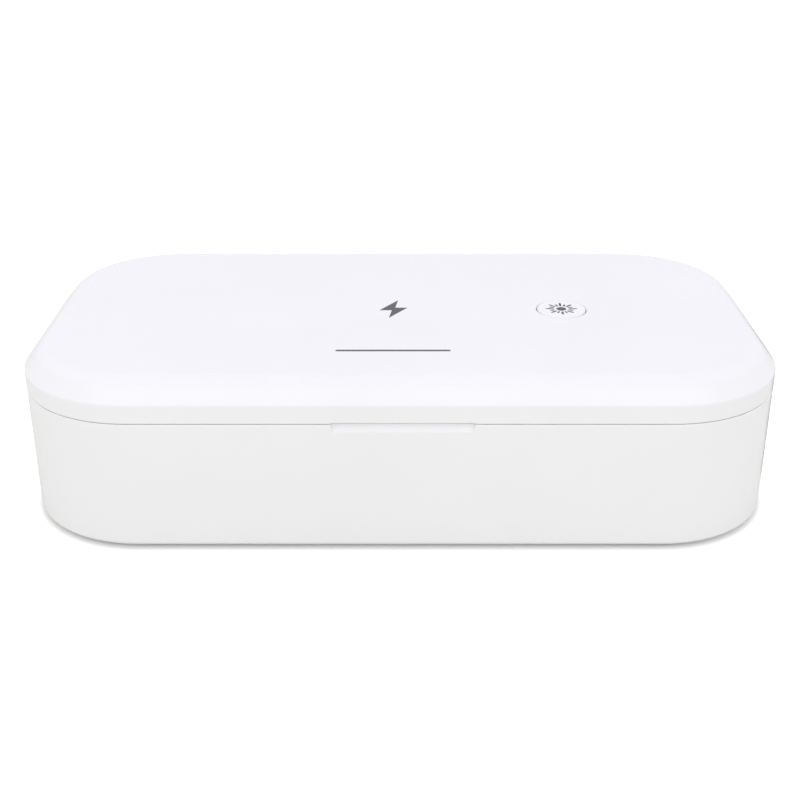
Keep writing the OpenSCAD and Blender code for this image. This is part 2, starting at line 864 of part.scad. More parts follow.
module lid_shell() {
    color("white") on_footprint() difference() {
        union() {
            round_the_case() lid_wall();
            middle_plate(ceiling_z, lid_top_t);
            lid_knuckles();
            button_guide();
            coil_rib();
            for (p = panel_screws_at) {
                translate([p[0], p[1], panel_top_z + panel_boss_gap])
                    cylinder(r = boss_r, h = ceiling_z + lid_top_t / 2 - panel_top_z - panel_boss_gap);
            }
            at_corners(coil_x, coil_y, carrier_post_x, carrier_post_y)
                translate([0, 0, ferrite_z]) cylinder(r = post_r, h = ceiling_z + lid_top_t / 2 - ferrite_z);
        }
        for (side = [-1, 1]) {
            for (end = [-1, 1]) {
                hinge_rod(side * hinge_span / 2 + end * (hinge_w - base_knuckle_w) / 2,
                    base_knuckle_w + 2 * fit_gap, relief_r);
            }
        }
        pin_bores(pin_r + running_fit);
        notch_slot();
        at_button() {
            translate([0, 0, ceiling_z - cut_over]) cylinder(r = button_hole_r, h = lid_top_t + 2 * cut_over);
            translate([0, 0, top_z - button_gap])
                cylinder(r1 = button_hole_r, r2 = button_hole_r + button_gap, h = button_gap);
        }
        for (p = panel_screws_at) {
            translate([p[0], p[1], panel_z])
                cylinder(r = small_screw_r + pin_fit, h = panel_screw_len + small_head_h);
        }
        at_corners(coil_x, coil_y, carrier_post_x, carrier_post_y)
            translate([0, 0, carrier_z]) cylinder(r = small_screw_r + pin_fit, h = small_screw_len);
    }
}

// Edge of the panel, with the rebate that holds the light seal
module panel_profile() {
    polygon([
        [0, panel_z],
        [panel_r - seal_t - snug_gap, panel_z],
        [panel_r - seal_t - snug_gap, panel_z + seal_root],
        [panel_r, panel_z + seal_root],
        [panel_r, panel_top_z],
        [0, panel_top_z]]);
}

// Low wall round a loose piece that stands on the panel
module panel_pocket(x, y, w, d) {
    translate([x, y, panel_top_z - panel_t / 2]) difference() {
        block(0, 0, 0, w + 2 * (snug_gap + rib_t), d + 2 * (snug_gap + rib_t), pocket_h + panel_t / 2);
        block(0, 0, panel_t / 2, w + 2 * snug_gap, d + 2 * snug_gap, pocket_h + cut_over);
    }
}

// The stakes that hold the charging board and the switch board
module at_charging_stakes() {
    at_corners(charging_board_x, coil_y,
        charging_board_w / 2 - stake_inset, charging_board_d / 2 - stake_inset) children();
}

module at_switch_stakes() {
    at_corners(button_x, button_y, switch_board_w / 2 - post_r, switch_board_d / 2 - post_r) children();
}

function lid_magnet_y() = -(corner_y + inner_r - lid_magnet_in);
function sensor_magnet_x() = corner_x + inner_r - sensor_magnet_in;

module inner_panel() {
    color("gainsboro") on_footprint() difference() {
        union() {
            round_the_case() panel_profile();
            middle_plate(panel_z, panel_t);
            at_stakes() staked_post(panel_top_z - panel_t / 2, lid_strip_z);
            at_charging_stakes() staked_post(panel_top_z - panel_t / 2, charging_board_z);
            at_switch_stakes() staked_post(panel_top_z - panel_t / 2, switch_board_z);
            for (side = [-1, 1]) {
                panel_pocket(side * magnet_x, lid_magnet_y(), magnet_w, magnet_t);
            }
            panel_pocket(sensor_magnet_x(), 0, 2 * sensor_magnet_r, 2 * sensor_magnet_r);
        }
        at_lamps() {
            translate([0, 0, panel_z - cut_over]) cylinder(r = window_r + snug_gap, h = window_t + cut_over);
            translate([0, 0, panel_z]) cylinder(r = window_r - window_seat_w, h = panel_t + cut_over);
        }
        for (p = panel_screws_at) {
            translate([p[0], p[1], panel_z - cut_over]) {
                cylinder(r = small_head_r + seat_gap, h = small_head_h + cut_over);
                cylinder(r = small_screw_r + snug_gap, h = panel_t + 2 * cut_over);
            }
        }
    }
}

// Soft ring that reaches down inside the base's wall and stops stray light
module light_seal() {
    color("whitesmoke") on_footprint() round_the_case() rounded_profile([
        [panel_r - seal_t, seal_z, seal_edge_r],
        [panel_r, seal_z, seal_edge_r],
        [panel_r, panel_z + seal_root],
        [panel_r - seal_t, panel_z + seal_root]]);
}

module lid_lamp_windows() {
    color("lightcyan") on_footprint() translate([0, 0, panel_z]) lamp_windows();
}

module lid_lamp_boards() {
    color("seagreen") on_footprint() lamp_boards(lid_strip_z);
}

module lid_lamps() {
    color("gold") on_footprint() translate([0, 0, lid_strip_z]) mirror([0, 0, 1]) at_lamps() lamp_package();
}

module charging_coil() {
    color("chocolate") on_footprint() at_coil() translate([0, 0, coil_z]) difference() {
        cylinder(r = coil_r, h = coil_t);
        translate([0, 0, -cut_over]) cylinder(r = coil_bore_r, h = coil_t + 2 * cut_over);
    }
}

module ferrite_sheet() {
    color("dimgray") on_footprint() at_coil() translate([0, 0, ferrite_z])
        cylinder(r = ferrite_r, h = ferrite_t);
}

module coil_carrier() {
    color("whitesmoke") on_footprint() at_coil() difference() {
        translate([0, 0, carrier_z]) rounded_plate(carrier_w, carrier_d, carrier_corner_r, carrier_t);
        at_corners(0, 0, carrier_post_x, carrier_post_y)
            translate([0, 0, carrier_z - cut_over])
                cylinder(r = small_screw_r + snug_gap, h = carrier_t + 2 * cut_over);
    }
}

module carrier_screws() {
    color("silver") on_footprint() at_corners(coil_x, coil_y, carrier_post_x, carrier_post_y)
        translate([0, 0, carrier_z])
            screw(small_screw_r, small_screw_len - seat_gap, small_head_r, small_head_h);
}

module charging_board() {
    color("seagreen") on_footprint() difference() {
        block(charging_board_x, coil_y, charging_board_z, charging_board_w, charging_board_d, board_t);
        at_charging_stakes() translate([0, 0, charging_board_z - cut_over])
            cylinder(r = stake_r + snug_gap, h = board_t + 2 * cut_over);
    }
}

// Controller, bridge and the row of resonance capacitors
module charging_components() {
    color("darkslategray") on_footprint() translate([charging_board_x, coil_y, charging_board_z + board_t]) {
        chip(0, 0, controller_size);
        chip(bridge_at[0], bridge_at[1], bridge_size);
        for (i = [0:resonance_count - 1]) {
            chip(resonance_x, -i * resonance_pitch, resonance_size);
        }
    }
}

module switch_board() {
    color("seagreen") on_footprint() difference() {
        block(button_x, button_y, switch_board_z, switch_board_w, switch_board_d, board_t);
        at_switch_stakes() translate([0, 0, switch_board_z - cut_over])
            cylinder(r = stake_r + snug_gap, h = board_t + 2 * cut_over);
    }
}

module switch_housing() {
    color("dimgray") on_footprint() at_button() difference() {
        block(0, 0, switch_top_z - switch_h, switch_w, switch_w, switch_h);
        translate([0, 0, switch_top_z - plunger_in - button_travel - seat_gap])
            cylinder(r = plunger_r + snug_gap, h = plunger_in + button_travel + seat_gap + cut_over);
    }
}

module indicator_lamp() {
    color("lightblue") on_footprint() at_button()
        translate([0, 0, switch_board_z + board_t]) chip(0, indicator_y, indicator_size);
}

module lid_magnets() {
    color("slategray") on_footprint() for (side = [-1, 1]) {
        block(side * magnet_x, lid_magnet_y(), panel_top_z, magnet_w, magnet_t, lid_magnet_h);
    }
}

module sensor_magnet() {
    color("slategray") on_footprint() translate([sensor_magnet_x(), 0, panel_top_z])
        cylinder(r = sensor_magnet_r, h = sensor_magnet_h);
}

module panel_screws() {
    color("silver") on_footprint() for (p = panel_screws_at) {
        translate([p[0], p[1], panel_z + small_head_h])
            screw(small_screw_r, panel_screw_len - seat_gap, small_head_r, small_head_h);
    }
}

// ---------- Start button ----------

module start_button() {
    cap_top_z = top_z + button_proud;
    flange_top_z = ceiling_z - seat_gap;
    dish_r = (button_r * button_r + button_dish * button_dish) / (2 * button_dish);
    color("whitesmoke") on_footprint() at_button() difference() {
        union() {
            rotate_extrude() rounded_profile([
                [0, plunger_top_z],
                [button_stem_r, plunger_top_z],
                [button_stem_r, flange_top_z - button_flange_t / 2],
                [0, flange_top_z - button_flange_t / 2]]);
            rotate_extrude() rounded_profile([
                [0, flange_top_z - button_flange_t],
                [button_flange_r, flange_top_z - button_flange_t],
                [button_flange_r, flange_top_z],
                [button_r, flange_top_z],
                [button_r, cap_top_z, button_edge_r],
                [0, cap_top_z]]);
            translate([-button_key_w / 2, 0, flange_top_z - button_flange_t])
                cube([button_key_w, button_flange_r + button_key_reach, button_flange_t]);
        }
        translate([0, 0, cap_top_z - button_dish + dish_r]) sphere(r = dish_r - button_edge_r * button_dish);
    }
}

module switch_plunger() {
    color("ivory") on_footprint() at_button() translate([0, 0, switch_top_z - plunger_in])
        cylinder(r = plunger_r, h = plunger_in + plunger_out);
}

// ---------- One line for each piece ----------

base_shell();
chamber_tray();
phone_rests();
base_lamp_windows();
base_lamp_boards();
base_lamps();
main_board();
main_board_components();
main_board_screws();
usb_socket();
lid_sensor();
base_magnets();
hinge_pins();
rubber_feet();
tray_screws();
lid_shell();
inner_panel();
light_seal();
lid_lamp_windows();
lid_lamp_boards();
lid_lamps();
charging_coil();
ferrite_sheet();
coil_carrier();
carrier_screws();
charging_board();
charging_components();
switch_board();
switch_housing();
indicator_lamp();
lid_magnets();
sensor_magnet();
panel_screws();
start_button();
switch_plunger();
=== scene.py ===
# %% [markdown]
# # A sanitizer box for phones, dressed around its CAD parts
# The real object is a rounded white box of moulded plastic. Its lid hides a charging coil and carries a
# round start button, and its chamber bathes a phone in ultraviolet light. The parts come already modelled in
# CAD, at an estimated size, so this lesson adds what makes them look real: finishes, printed marks, screw
# heads, the wound coil and a plain white studio. Everything is in metres, in the frame of the parts.

# %% Load the CAD parts
import json
import math

import bpy
import numpy as np
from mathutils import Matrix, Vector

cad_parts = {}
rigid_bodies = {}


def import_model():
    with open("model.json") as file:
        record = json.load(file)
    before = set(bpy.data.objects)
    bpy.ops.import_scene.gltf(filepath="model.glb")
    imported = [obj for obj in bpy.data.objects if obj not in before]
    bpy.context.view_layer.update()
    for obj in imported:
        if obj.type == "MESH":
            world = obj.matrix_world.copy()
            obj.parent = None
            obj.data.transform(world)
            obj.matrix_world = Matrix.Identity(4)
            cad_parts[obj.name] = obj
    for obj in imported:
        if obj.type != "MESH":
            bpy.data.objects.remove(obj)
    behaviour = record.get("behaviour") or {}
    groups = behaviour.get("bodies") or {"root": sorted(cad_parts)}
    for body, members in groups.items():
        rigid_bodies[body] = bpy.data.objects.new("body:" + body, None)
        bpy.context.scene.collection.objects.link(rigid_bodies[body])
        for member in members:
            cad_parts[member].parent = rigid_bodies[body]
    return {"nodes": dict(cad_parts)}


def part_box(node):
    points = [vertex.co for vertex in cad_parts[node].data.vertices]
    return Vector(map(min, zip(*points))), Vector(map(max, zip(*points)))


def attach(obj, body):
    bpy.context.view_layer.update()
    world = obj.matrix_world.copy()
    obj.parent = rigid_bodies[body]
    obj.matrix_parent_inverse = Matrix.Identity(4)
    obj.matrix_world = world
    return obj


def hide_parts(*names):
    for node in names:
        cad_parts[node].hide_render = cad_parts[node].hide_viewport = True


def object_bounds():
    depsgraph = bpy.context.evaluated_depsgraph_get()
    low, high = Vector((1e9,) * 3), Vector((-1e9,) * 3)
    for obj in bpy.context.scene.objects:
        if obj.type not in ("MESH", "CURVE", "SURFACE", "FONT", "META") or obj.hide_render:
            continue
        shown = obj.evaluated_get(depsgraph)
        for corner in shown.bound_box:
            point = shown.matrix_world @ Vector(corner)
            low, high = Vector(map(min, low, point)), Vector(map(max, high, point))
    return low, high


for leftover in list(bpy.data.objects):
    bpy.data.objects.remove(leftover)
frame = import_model()
cad_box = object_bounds()
nodes = frame["nodes"]
MM = 0.001
print("overall size in mm:", [round(side / MM, 2) for side in cad_box[1] - cad_box[0]])

# %% [markdown]
# ## Helpers for colours and shader nodes
# A colour picked from a screen is an sRGB hex value, but shaders add up linear light, so each one goes
# through the same curve first. Every finish is a small tree of nodes, so one function adds a node, sets it
# and plugs it in. Patterns are laid out in Object coordinates turned into millimetres: a number in a
# pattern is then a size that can be compared with the real thing.

# %% Colour and node helpers
def linear(hex_colour):
    """sRGB hex to linear light: c / 12.92 up to 0.04045, and ((c + 0.055) / 1.055) to the power 2.4 above."""
    srgb = np.array([int(hex_colour[i:i + 2], 16) for i in (0, 2, 4)]) / 255
    return (*np.where(srgb <= 0.04045, srgb / 12.92, ((srgb + 0.055) / 1.055) ** 2.4).tolist(), 1.0)


def add_node(tree, kind, inputs, output, feeds=None, **settings):
    """Adds a node, gives it its settings, and fills its inputs with constants or other nodes' outputs.
    The output that is named is plugged into the socket that it feeds, if there is one, and comes back."""
    node = tree.nodes.new(kind)
    for name, value in settings.items():
        setattr(node, name, value)
    for socket, value in inputs.items():
        if isinstance(value, bpy.types.NodeSocket):
            tree.links.new(value, node.inputs[socket])
        else:
            node.inputs[socket].default_value = value
    if feeds is not None:
        tree.links.new(node.outputs[output], feeds)
    return node.outputs[output]


def new_finish(name, colour, roughness, **constants):
    """A Principled surface. Constants sit on its own sockets, named with _ for a space."""
    finish = bpy.data.materials.new(name)
    finish.use_nodes = True
    tree = finish.node_tree
    skin = next(node for node in tree.nodes if node.type == "BSDF_PRINCIPLED")
    skin.inputs["Base Color"].default_value = linear(colour)
    skin.inputs["Roughness"].default_value = roughness
    for socket, value in constants.items():
        skin.inputs[socket.replace("_", " ")].default_value = value
    return finish, tree, skin


def in_millimetres(tree, stretch=(1, 1, 1)):
    """Object coordinates in millimetres, each axis divided by its stretch."""
    where = add_node(tree, "ShaderNodeTexCoord", {}, "Object")
    scale = tuple(1 / (MM * factor) for factor in stretch)
    return add_node(tree, "ShaderNodeMapping", {"Vector": where, "Scale": scale}, "Vector")


NOISE_MIDDLE = (0.3, 0.7)


def patches(tree, where, size_mm, detail=2.0, low=0.0, high=1.0, feeds=None):
    """Soft noise with blobs about size_mm across. Nearly all of it lies in its middle, and the second value
    that comes back has that middle stretched to low..high. The first is the noise as it was."""
    inputs = {"Vector": where, "Scale": 1 / size_mm, "Detail": detail}
    noise = add_node(tree, "ShaderNodeTexNoise", inputs, "Fac")
    stretched = {"Value": noise, "From Min": NOISE_MIDDLE[0], "From Max": NOISE_MIDDLE[1], "To Min": low,
        "To Max": high}
    return noise, add_node(tree, "ShaderNodeMapRange", stretched, "Result", feeds)


def grained(tree, skin, where, size_mm, depth_mm, detail=2.0, below=None):
    """Fine relief: soft noise about size_mm across is a height whose full swing is depth_mm, and it lies on
    the relief below where there is one. The tilted normals feed the skin."""
    inputs = {"Vector": where, "Scale": 1 / size_mm, "Detail": detail}
    height = add_node(tree, "ShaderNodeTexNoise", inputs, "Fac")
    relief = {"Height": height, "Distance": depth_mm * MM}
    if below is not None:
        relief["Normal"] = below
    return add_node(tree, "ShaderNodeBump", relief, "Normal", skin.inputs["Normal"])


print("sRGB F0F0F1 is linear", [round(c, 3) for c in linear("F0F0F1")])

# %% [markdown]
# ## Gloss white shell: moulded ABS
# Base and lid are injection-moulded ABS from a polished mould. Polish gives a clear, soft-edged reflection
# (roughness about 0.2, IOR 1.54). White ABS also lets light about a millimetre into its skin, which softens
# the shading of its edges. Two faults of every real moulding keep it from looking computed: "orange peel",
# a ripple of a few microns every few millimetres, and a trace of tone where the melt flowed. Both could be
# painted, but a procedural noise needs no image and keeps its size on every face.

# %% Shell, liner and button plastics
ABS_SCATTER = (1.2 * MM, 1.2 * MM, 1.2 * MM)
FLOW_MM = 45
HANDLING_MM = 14


def moulded(name, light, dark, roughness, ripple_mm, ripple_depth, grain_mm, grain_depth):
    """Moulded plastic: flow tone in large clouds, gloss that varies with handling, and mould grain on top of
    the ripple."""
    finish, tree, skin = new_finish(name, light, roughness, IOR=1.54, Subsurface_Weight=0.4,
        Subsurface_Radius=ABS_SCATTER)
    where = in_millimetres(tree)
    flow = patches(tree, where, FLOW_MM)[1]
    tones = {"Factor": flow, "A": linear(dark), "B": linear(light)}
    add_node(tree, "ShaderNodeMix", tones, "Result", skin.inputs["Base Color"], data_type="RGBA")
    patches(tree, where, HANDLING_MM, 3, roughness * 0.85, roughness * 1.2, skin.inputs["Roughness"])
    ripple = grained(tree, skin, where, ripple_mm, ripple_depth, 1)
    grained(tree, skin, where, grain_mm, grain_depth, 1, below=ripple)
    return finish


SHELL_ABS = moulded("shell_gloss_abs", "F1F1F2", "EFEFF0", 0.2, 4.0, 0.004, 0.9, 0.0008)
LINER_ABS = moulded("liner_satin_abs", "EDEEEE", "EAEBEB", 0.34, 5.0, 0.004, 0.5, 0.006)
BUTTON_ABS = moulded("button_gloss_abs", "F2F2F2", "F0F0F0", 0.22, 3.0, 0.003, 0.8, 0.0008)
print("plastics:", SHELL_ABS.name, LINER_ABS.name, BUTTON_ABS.name)

# %% [markdown]
# ## Soft pieces: silicone and rubber
# The phone rests are clear silicone: light goes in and comes out milky, so it is part transmission with a
# rough surface and mostly light scattered below the skin. The light seal is white silicone loaded with
# chalk, which lets nothing through. The feet are grey rubber with the fine grain of a blasted mould. All
# three catch dust, which is a pale speckle.

# %% Silicone and rubber
DUST_MM = 0.7
DUST_FROM = 0.6
DUST_FULL = 0.75
SILICONE_SCATTER = (2 * MM, 2 * MM, 2 * MM)


def elastomer(name, colour, dusty, roughness, grain_mm, grain_depth, **constants):
    """Soft moulded rubber: speckled dust over the body colour where the noise is high, and an even grain."""
    finish, tree, skin = new_finish(name, colour, roughness, **constants)
    where = in_millimetres(tree)
    speckle = {"Vector": where, "Scale": 1 / DUST_MM, "Detail": 4}
    speckle = add_node(tree, "ShaderNodeTexNoise", speckle, "Fac")
    dust = {"Value": speckle, "From Min": DUST_FROM, "From Max": DUST_FULL}
    dust = add_node(tree, "ShaderNodeMapRange", dust, "Result")
    tones = {"Factor": dust, "A": linear(colour), "B": linear(dusty)}
    add_node(tree, "ShaderNodeMix", tones, "Result", skin.inputs["Base Color"], data_type="RGBA")
    grained(tree, skin, where, grain_mm, grain_depth)
    return finish


CLEAR_SILICONE = elastomer("rest_clear_silicone", "EDF1F2", "F8F8F8", 0.32, 0.6, 0.01, IOR=1.41,
    Transmission_Weight=0.3, Subsurface_Weight=0.6, Subsurface_Radius=SILICONE_SCATTER)
SEAL_SILICONE = elastomer("seal_white_silicone", "E3E3E2", "ECECEC", 0.5, 0.6, 0.012, IOR=1.41)
FOOT_RUBBER = elastomer("foot_grey_rubber", "5A5B5D", "77787A", 0.75, 0.5, 0.02, IOR=1.52)
print("elastomers:", CLEAR_SILICONE.name, SEAL_SILICONE.name, FOOT_RUBBER.name)

# %% [markdown]
# ## Lamp windows: fused quartz
# Ordinary glass stops short ultraviolet light, so such lamps look out through fused quartz. It is clear,
# colourless, and bends light less than window glass (IOR 1.46). Wiping leaves faint streaks of oil that
# show only as a change of gloss, so the streaks drive the roughness and never the colour.

# %% Quartz
WIPED_ALONG_Y = (1, 6, 1)
STREAK_MM = 0.8
QUARTZ, quartz_tree, quartz_skin = new_finish("window_fused_quartz", "FAFCFD", 0.03, IOR=1.46,
    Transmission_Weight=1.0)
patches(quartz_tree, in_millimetres(quartz_tree, WIPED_ALONG_Y), STREAK_MM, 3, 0.01, 0.09,
    quartz_skin.inputs["Roughness"])
print("glass:", QUARTZ.name)

# %% [markdown]
# ## Metals: screws, socket, pins, magnets
# Metals have a coloured mirror and no body colour, so metallic is 1 and the index stays at its default.
# What tells them apart is how they were made: a zinc bath leaves a cloudy, slightly iridescent skin, a
# drawn sleeve has fine lines along its length, a ground pin has lines round it, and plated magnets are
# smooth with a warm cast. Lines are noise that is drawn out in their own direction.

# %% Metals
PLATING_MM = 1.6


def plated(name, colour, tint, roughness, stretch, line_mm, line_depth):
    """Plated or worked metal: cloudy tint, and fine lines drawn out along the stretched axis, which change
    the gloss and the height."""
    finish, tree, skin = new_finish(name, colour, roughness, Metallic=1.0)
    tint_share = patches(tree, in_millimetres(tree), PLATING_MM, 3)[1]
    tones = {"Factor": tint_share, "A": linear(colour), "B": linear(tint)}
    add_node(tree, "ShaderNodeMix", tones, "Result", skin.inputs["Base Color"], data_type="RGBA")
    lines = patches(tree, in_millimetres(tree, stretch), line_mm, 3, roughness * 0.8, roughness * 1.3,
        skin.inputs["Roughness"])[0]
    relief = {"Height": lines, "Distance": line_depth * MM}
    add_node(tree, "ShaderNodeBump", relief, "Normal", skin.inputs["Normal"])
    return finish


ZINC = plated("screw_zinc_plate", "C3C5C9", "B9BBB4", 0.3, (1, 1, 1), 0.25, 0.004)
SLEEVE_STEEL = plated("socket_drawn_nickel_steel", "CBCBC9", "BFBFBC", 0.26, (1, 30, 1), 0.12, 0.003)
PIN_STEEL = plated("pin_ground_steel", "BEBFC1", "B2B3B6", 0.24, (0.3, 8, 8), 0.3, 0.003)
NICKEL = plated("magnet_nickel_plate", "CFCBC2", "C4BFB4", 0.2, (1, 1, 1), 0.5, 0.002)
GOLD = plated("contact_gold_flash", "E0B55A", "D4A64C", 0.25, (1, 12, 1), 0.1, 0.002)
print("metals:", [metal.name for metal in (ZINC, SLEEVE_STEEL, PIN_STEEL, NICKEL, GOLD)])

# %% [markdown]
# ## Circuit boards: solder mask over copper
# A board is glass and epoxy under a thin glossy lacquer, the solder mask. The copper tracks below lift the
# mask by about 35 microns and make it lighter. Tracks run in right angles, and a Voronoi texture measured
# with the Manhattan distance draws just such angular paths: where the distance to the nearest border is
# small there is a track.

# %% Boards
COPPER_STEP_MM = 0.035


def masked_board(name, mask, over_copper, cell_mm, track_share):
    """Solder mask over copper tracks. A track lies where the second nearest cell is hardly further away than
    the nearest one, with distances counted along x plus along y."""
    finish, tree, skin = new_finish(name, mask, 0.28, IOR=1.55)
    cells = {"Vector": in_millimetres(tree), "Scale": 1 / cell_mm, "Randomness": 0.7}
    first, second = [add_node(tree, "ShaderNodeTexVoronoi", cells, "Distance", feature=feature,
        distance="MANHATTAN") for feature in ("F1", "F2")]
    border = add_node(tree, "ShaderNodeMath", {0: second, 1: first}, "Value", operation="SUBTRACT")
    ramp = {"Value": border, "From Min": track_share, "From Max": track_share * 1.5, "To Min": 1.0,
        "To Max": 0.0}
    track = add_node(tree, "ShaderNodeMapRange", ramp, "Result")
    tones = {"Factor": track, "A": linear(mask), "B": linear(over_copper)}
    add_node(tree, "ShaderNodeMix", tones, "Result", skin.inputs["Base Color"], data_type="RGBA")
    relief = {"Height": track, "Distance": COPPER_STEP_MM * MM}
    add_node(tree, "ShaderNodeBump", relief, "Normal", skin.inputs["Normal"])
    return finish


GREEN_BOARD = masked_board("board_green_mask", "0E4A28", "1F6B3C", 3.2, 0.16)
LAMP_BOARD = masked_board("board_white_mask", "E6E8E6", "F0F0EA", 6.0, 0.4)
print("boards:", GREEN_BOARD.name, LAMP_BOARD.name)

# %% [markdown]
# ## Small solids: ceramics, epoxy, ferrite, nylon
# Lamp packages are fired alumina, dense and slightly yellow. Chips are cast in black epoxy filled with
# silica, which sparkles in tiny points. Ferrite is a pressed and fired powder, nearly black, crazed into
# small tiles so that it can bend. The plunger is natural nylon, waxy and a little see-through.

# %% Ceramic, epoxy, ferrite and nylon
def granular(name, colour, grain_colour, roughness, grain_mm, depth, **constants):
    """A filled or fired solid: sharp grains of a second colour, and a matching fine relief."""
    finish, tree, skin = new_finish(name, colour, roughness, **constants)
    grains, grain_share = patches(tree, in_millimetres(tree), grain_mm, 4)
    tones = {"Factor": grain_share, "A": linear(colour), "B": linear(grain_colour)}
    add_node(tree, "ShaderNodeMix", tones, "Result", skin.inputs["Base Color"], data_type="RGBA")
    relief = {"Height": grains, "Distance": depth * MM}
    add_node(tree, "ShaderNodeBump", relief, "Normal", skin.inputs["Normal"])
    return finish


NYLON_SCATTER = (1 * MM, 1 * MM, 1 * MM)
ALUMINA = granular("lamp_fired_alumina", "EFE9D6", "E2DAC2", 0.45, 0.3, 0.004, IOR=1.76)
EPOXY = granular("chip_black_epoxy", "17181A", "26282B", 0.55, 0.2, 0.006, IOR=1.55)
NYLON = granular("plunger_natural_nylon", "E9E4D4", "DFD9C7", 0.42, 0.8, 0.003, IOR=1.53,
    Subsurface_Weight=0.15, Subsurface_Radius=NYLON_SCATTER)
EMITTER = granular("lamp_emitter_die", "4A4F78", "63609A", 0.2, 0.15, 0.001, IOR=2.0)

DOME_GRAIN_MM = 0.4
DOME_GRAIN_DEPTH_MM = 0.002
SILICA_DOME, dome_tree, dome_skin = new_finish("lamp_silica_dome", "F4F6FA", 0.05, IOR=1.46,
    Transmission_Weight=0.9)
grained(dome_tree, dome_skin, in_millimetres(dome_tree), DOME_GRAIN_MM, DOME_GRAIN_DEPTH_MM)

TILE_MM = 3
TILE_GAP_SHARE = 0.04
TILE_GAP_DEPTH_MM = 0.05
FERRITE, ferrite_tree, ferrite_skin = new_finish("ferrite_fired_powder", "2B2B2E", 0.6, IOR=1.8)
tiles = {"Vector": in_millimetres(ferrite_tree), "Scale": 1 / TILE_MM}
tiles = add_node(ferrite_tree, "ShaderNodeTexVoronoi", tiles, "Distance", feature="DISTANCE_TO_EDGE",
    distance="EUCLIDEAN")
craze = {"Value": tiles, "From Max": TILE_GAP_SHARE}
craze = add_node(ferrite_tree, "ShaderNodeMapRange", craze, "Result")
tones = {"Factor": craze, "A": linear("101012"), "B": linear("2F2F33")}
add_node(ferrite_tree, "ShaderNodeMix", tones, "Result", ferrite_skin.inputs["Base Color"],
    data_type="RGBA")
relief = {"Height": craze, "Distance": TILE_GAP_DEPTH_MM * MM}
add_node(ferrite_tree, "ShaderNodeBump", relief, "Normal", ferrite_skin.inputs["Normal"])
print("small solids:", [solid.name for solid in (ALUMINA, EPOXY, NYLON, SILICA_DOME, EMITTER, FERRITE)])

# %% [markdown]
# ## Printed marks: pad-printing ink
# The marks are pad-printed: a silicone stamp lays down a film of ink about 15 microns thick. The ink is a
# dark grey, duller than the plastic round it, with a slightly uneven edge and pinholes that only a
# magnifier shows. Here it is 30 microns thick, so that its edge can catch the light.

# %% Ink and enamelled copper
BLOTCH_MM = 0.35
BLOTCH_DEPTH_MM = 0.004
INK, ink_tree, ink_skin = new_finish("mark_grey_ink", "545357", 0.5, IOR=1.5)
blotch = patches(ink_tree, in_millimetres(ink_tree), BLOTCH_MM, 3)[1]
tones = {"Factor": blotch, "A": linear("4E4D52"), "B": linear("5B5A5F")}
add_node(ink_tree, "ShaderNodeMix", tones, "Result", ink_skin.inputs["Base Color"], data_type="RGBA")
relief = {"Height": blotch, "Distance": BLOTCH_DEPTH_MM * MM}
add_node(ink_tree, "ShaderNodeBump", relief, "Normal", ink_skin.inputs["Normal"])

# Litz wire: dozens of enamelled strands twisted together, seen as slanted lines along the wire's own UV.
# The lines are relief, and also colour: painted shade in the grooves between strands, a painted highlight on
# their crests
STRAND_DEPTH_MM = 0.05
COPPER, copper_tree, copper_skin = new_finish("coil_enamelled_litz", "B8683C", 0.3, Metallic=1.0,
    Coat_Weight=0.6)
along = add_node(copper_tree, "ShaderNodeUVMap", {}, "UV", uv_map="wire")
twist = {"Vector": along, "Scale": 1.0, "Distortion": 0.4}
twist = add_node(copper_tree, "ShaderNodeTexWave", twist, "Fac", wave_type="BANDS",
    bands_direction="DIAGONAL")
# Painted shade and highlight: dark copper where the bands are low, light copper where they are high
tones = {"Factor": twist, "A": linear("8E4523"), "B": linear("D98C57")}
add_node(copper_tree, "ShaderNodeMix", tones, "Result", copper_skin.inputs["Base Color"],
    data_type="RGBA")
relief = {"Height": twist, "Distance": STRAND_DEPTH_MM * MM}
add_node(copper_tree, "ShaderNodeBump", relief, "Normal", copper_skin.inputs["Normal"])
print("ink and wire:", INK.name, COPPER.name)

# %% [markdown]
# ## Dress the CAD parts
# Each part keeps its shape and only gets its finish. A table of part and finish is easier to check against
# the real object than the same names spread through the script, and a part that was forgotten shows up in
# the count that is printed.

# %% Give every part its finish
FINISHES = {
    SHELL_ABS: ("base_shell", "lid_shell"),
    LINER_ABS: ("chamber_tray", "inner_panel", "coil_carrier"),
    BUTTON_ABS: ("start_button",),
    CLEAR_SILICONE: ("phone_rests",),
    SEAL_SILICONE: ("light_seal",),
    QUARTZ: ("base_lamp_windows", "lid_lamp_windows"),
    LAMP_BOARD: ("base_lamp_boards", "lid_lamp_boards"),
    ALUMINA: ("base_lamps", "lid_lamps", "indicator_lamp"),
    GREEN_BOARD: ("main_board", "charging_board", "switch_board", "lid_sensor"),
    EPOXY: ("main_board_components", "charging_components", "switch_housing"),
    ZINC: ("main_board_screws", "tray_screws", "carrier_screws", "panel_screws"),
    SLEEVE_STEEL: ("usb_socket",),
    PIN_STEEL: ("hinge_pins",),
    NICKEL: ("base_magnets", "lid_magnets", "sensor_magnet"),
    FOOT_RUBBER: ("rubber_feet",),
    COPPER: ("charging_coil",),
    FERRITE: ("ferrite_sheet",),
    NYLON: ("switch_plunger",),
}
for finish, parts in FINISHES.items():
    for part in parts:
        nodes[part].data.materials.clear()
        nodes[part].data.materials.append(finish)
dressed = [part for parts in FINISHES.values() for part in parts]
print(len(dressed), "parts dressed, left bare:", sorted(set(nodes) - set(dressed)))

# %% [markdown]
# ## Surfaces from grids of points
# Most new pieces are sheets of points worked out as one numpy array: rows run along the piece and columns
# run round or across it. Neighbours are joined by quads, and a solid form gets a pole at each end. Array
# arithmetic places thousands of points at once, and the same functions then serve screws, wire, domes and
# the printed sun.

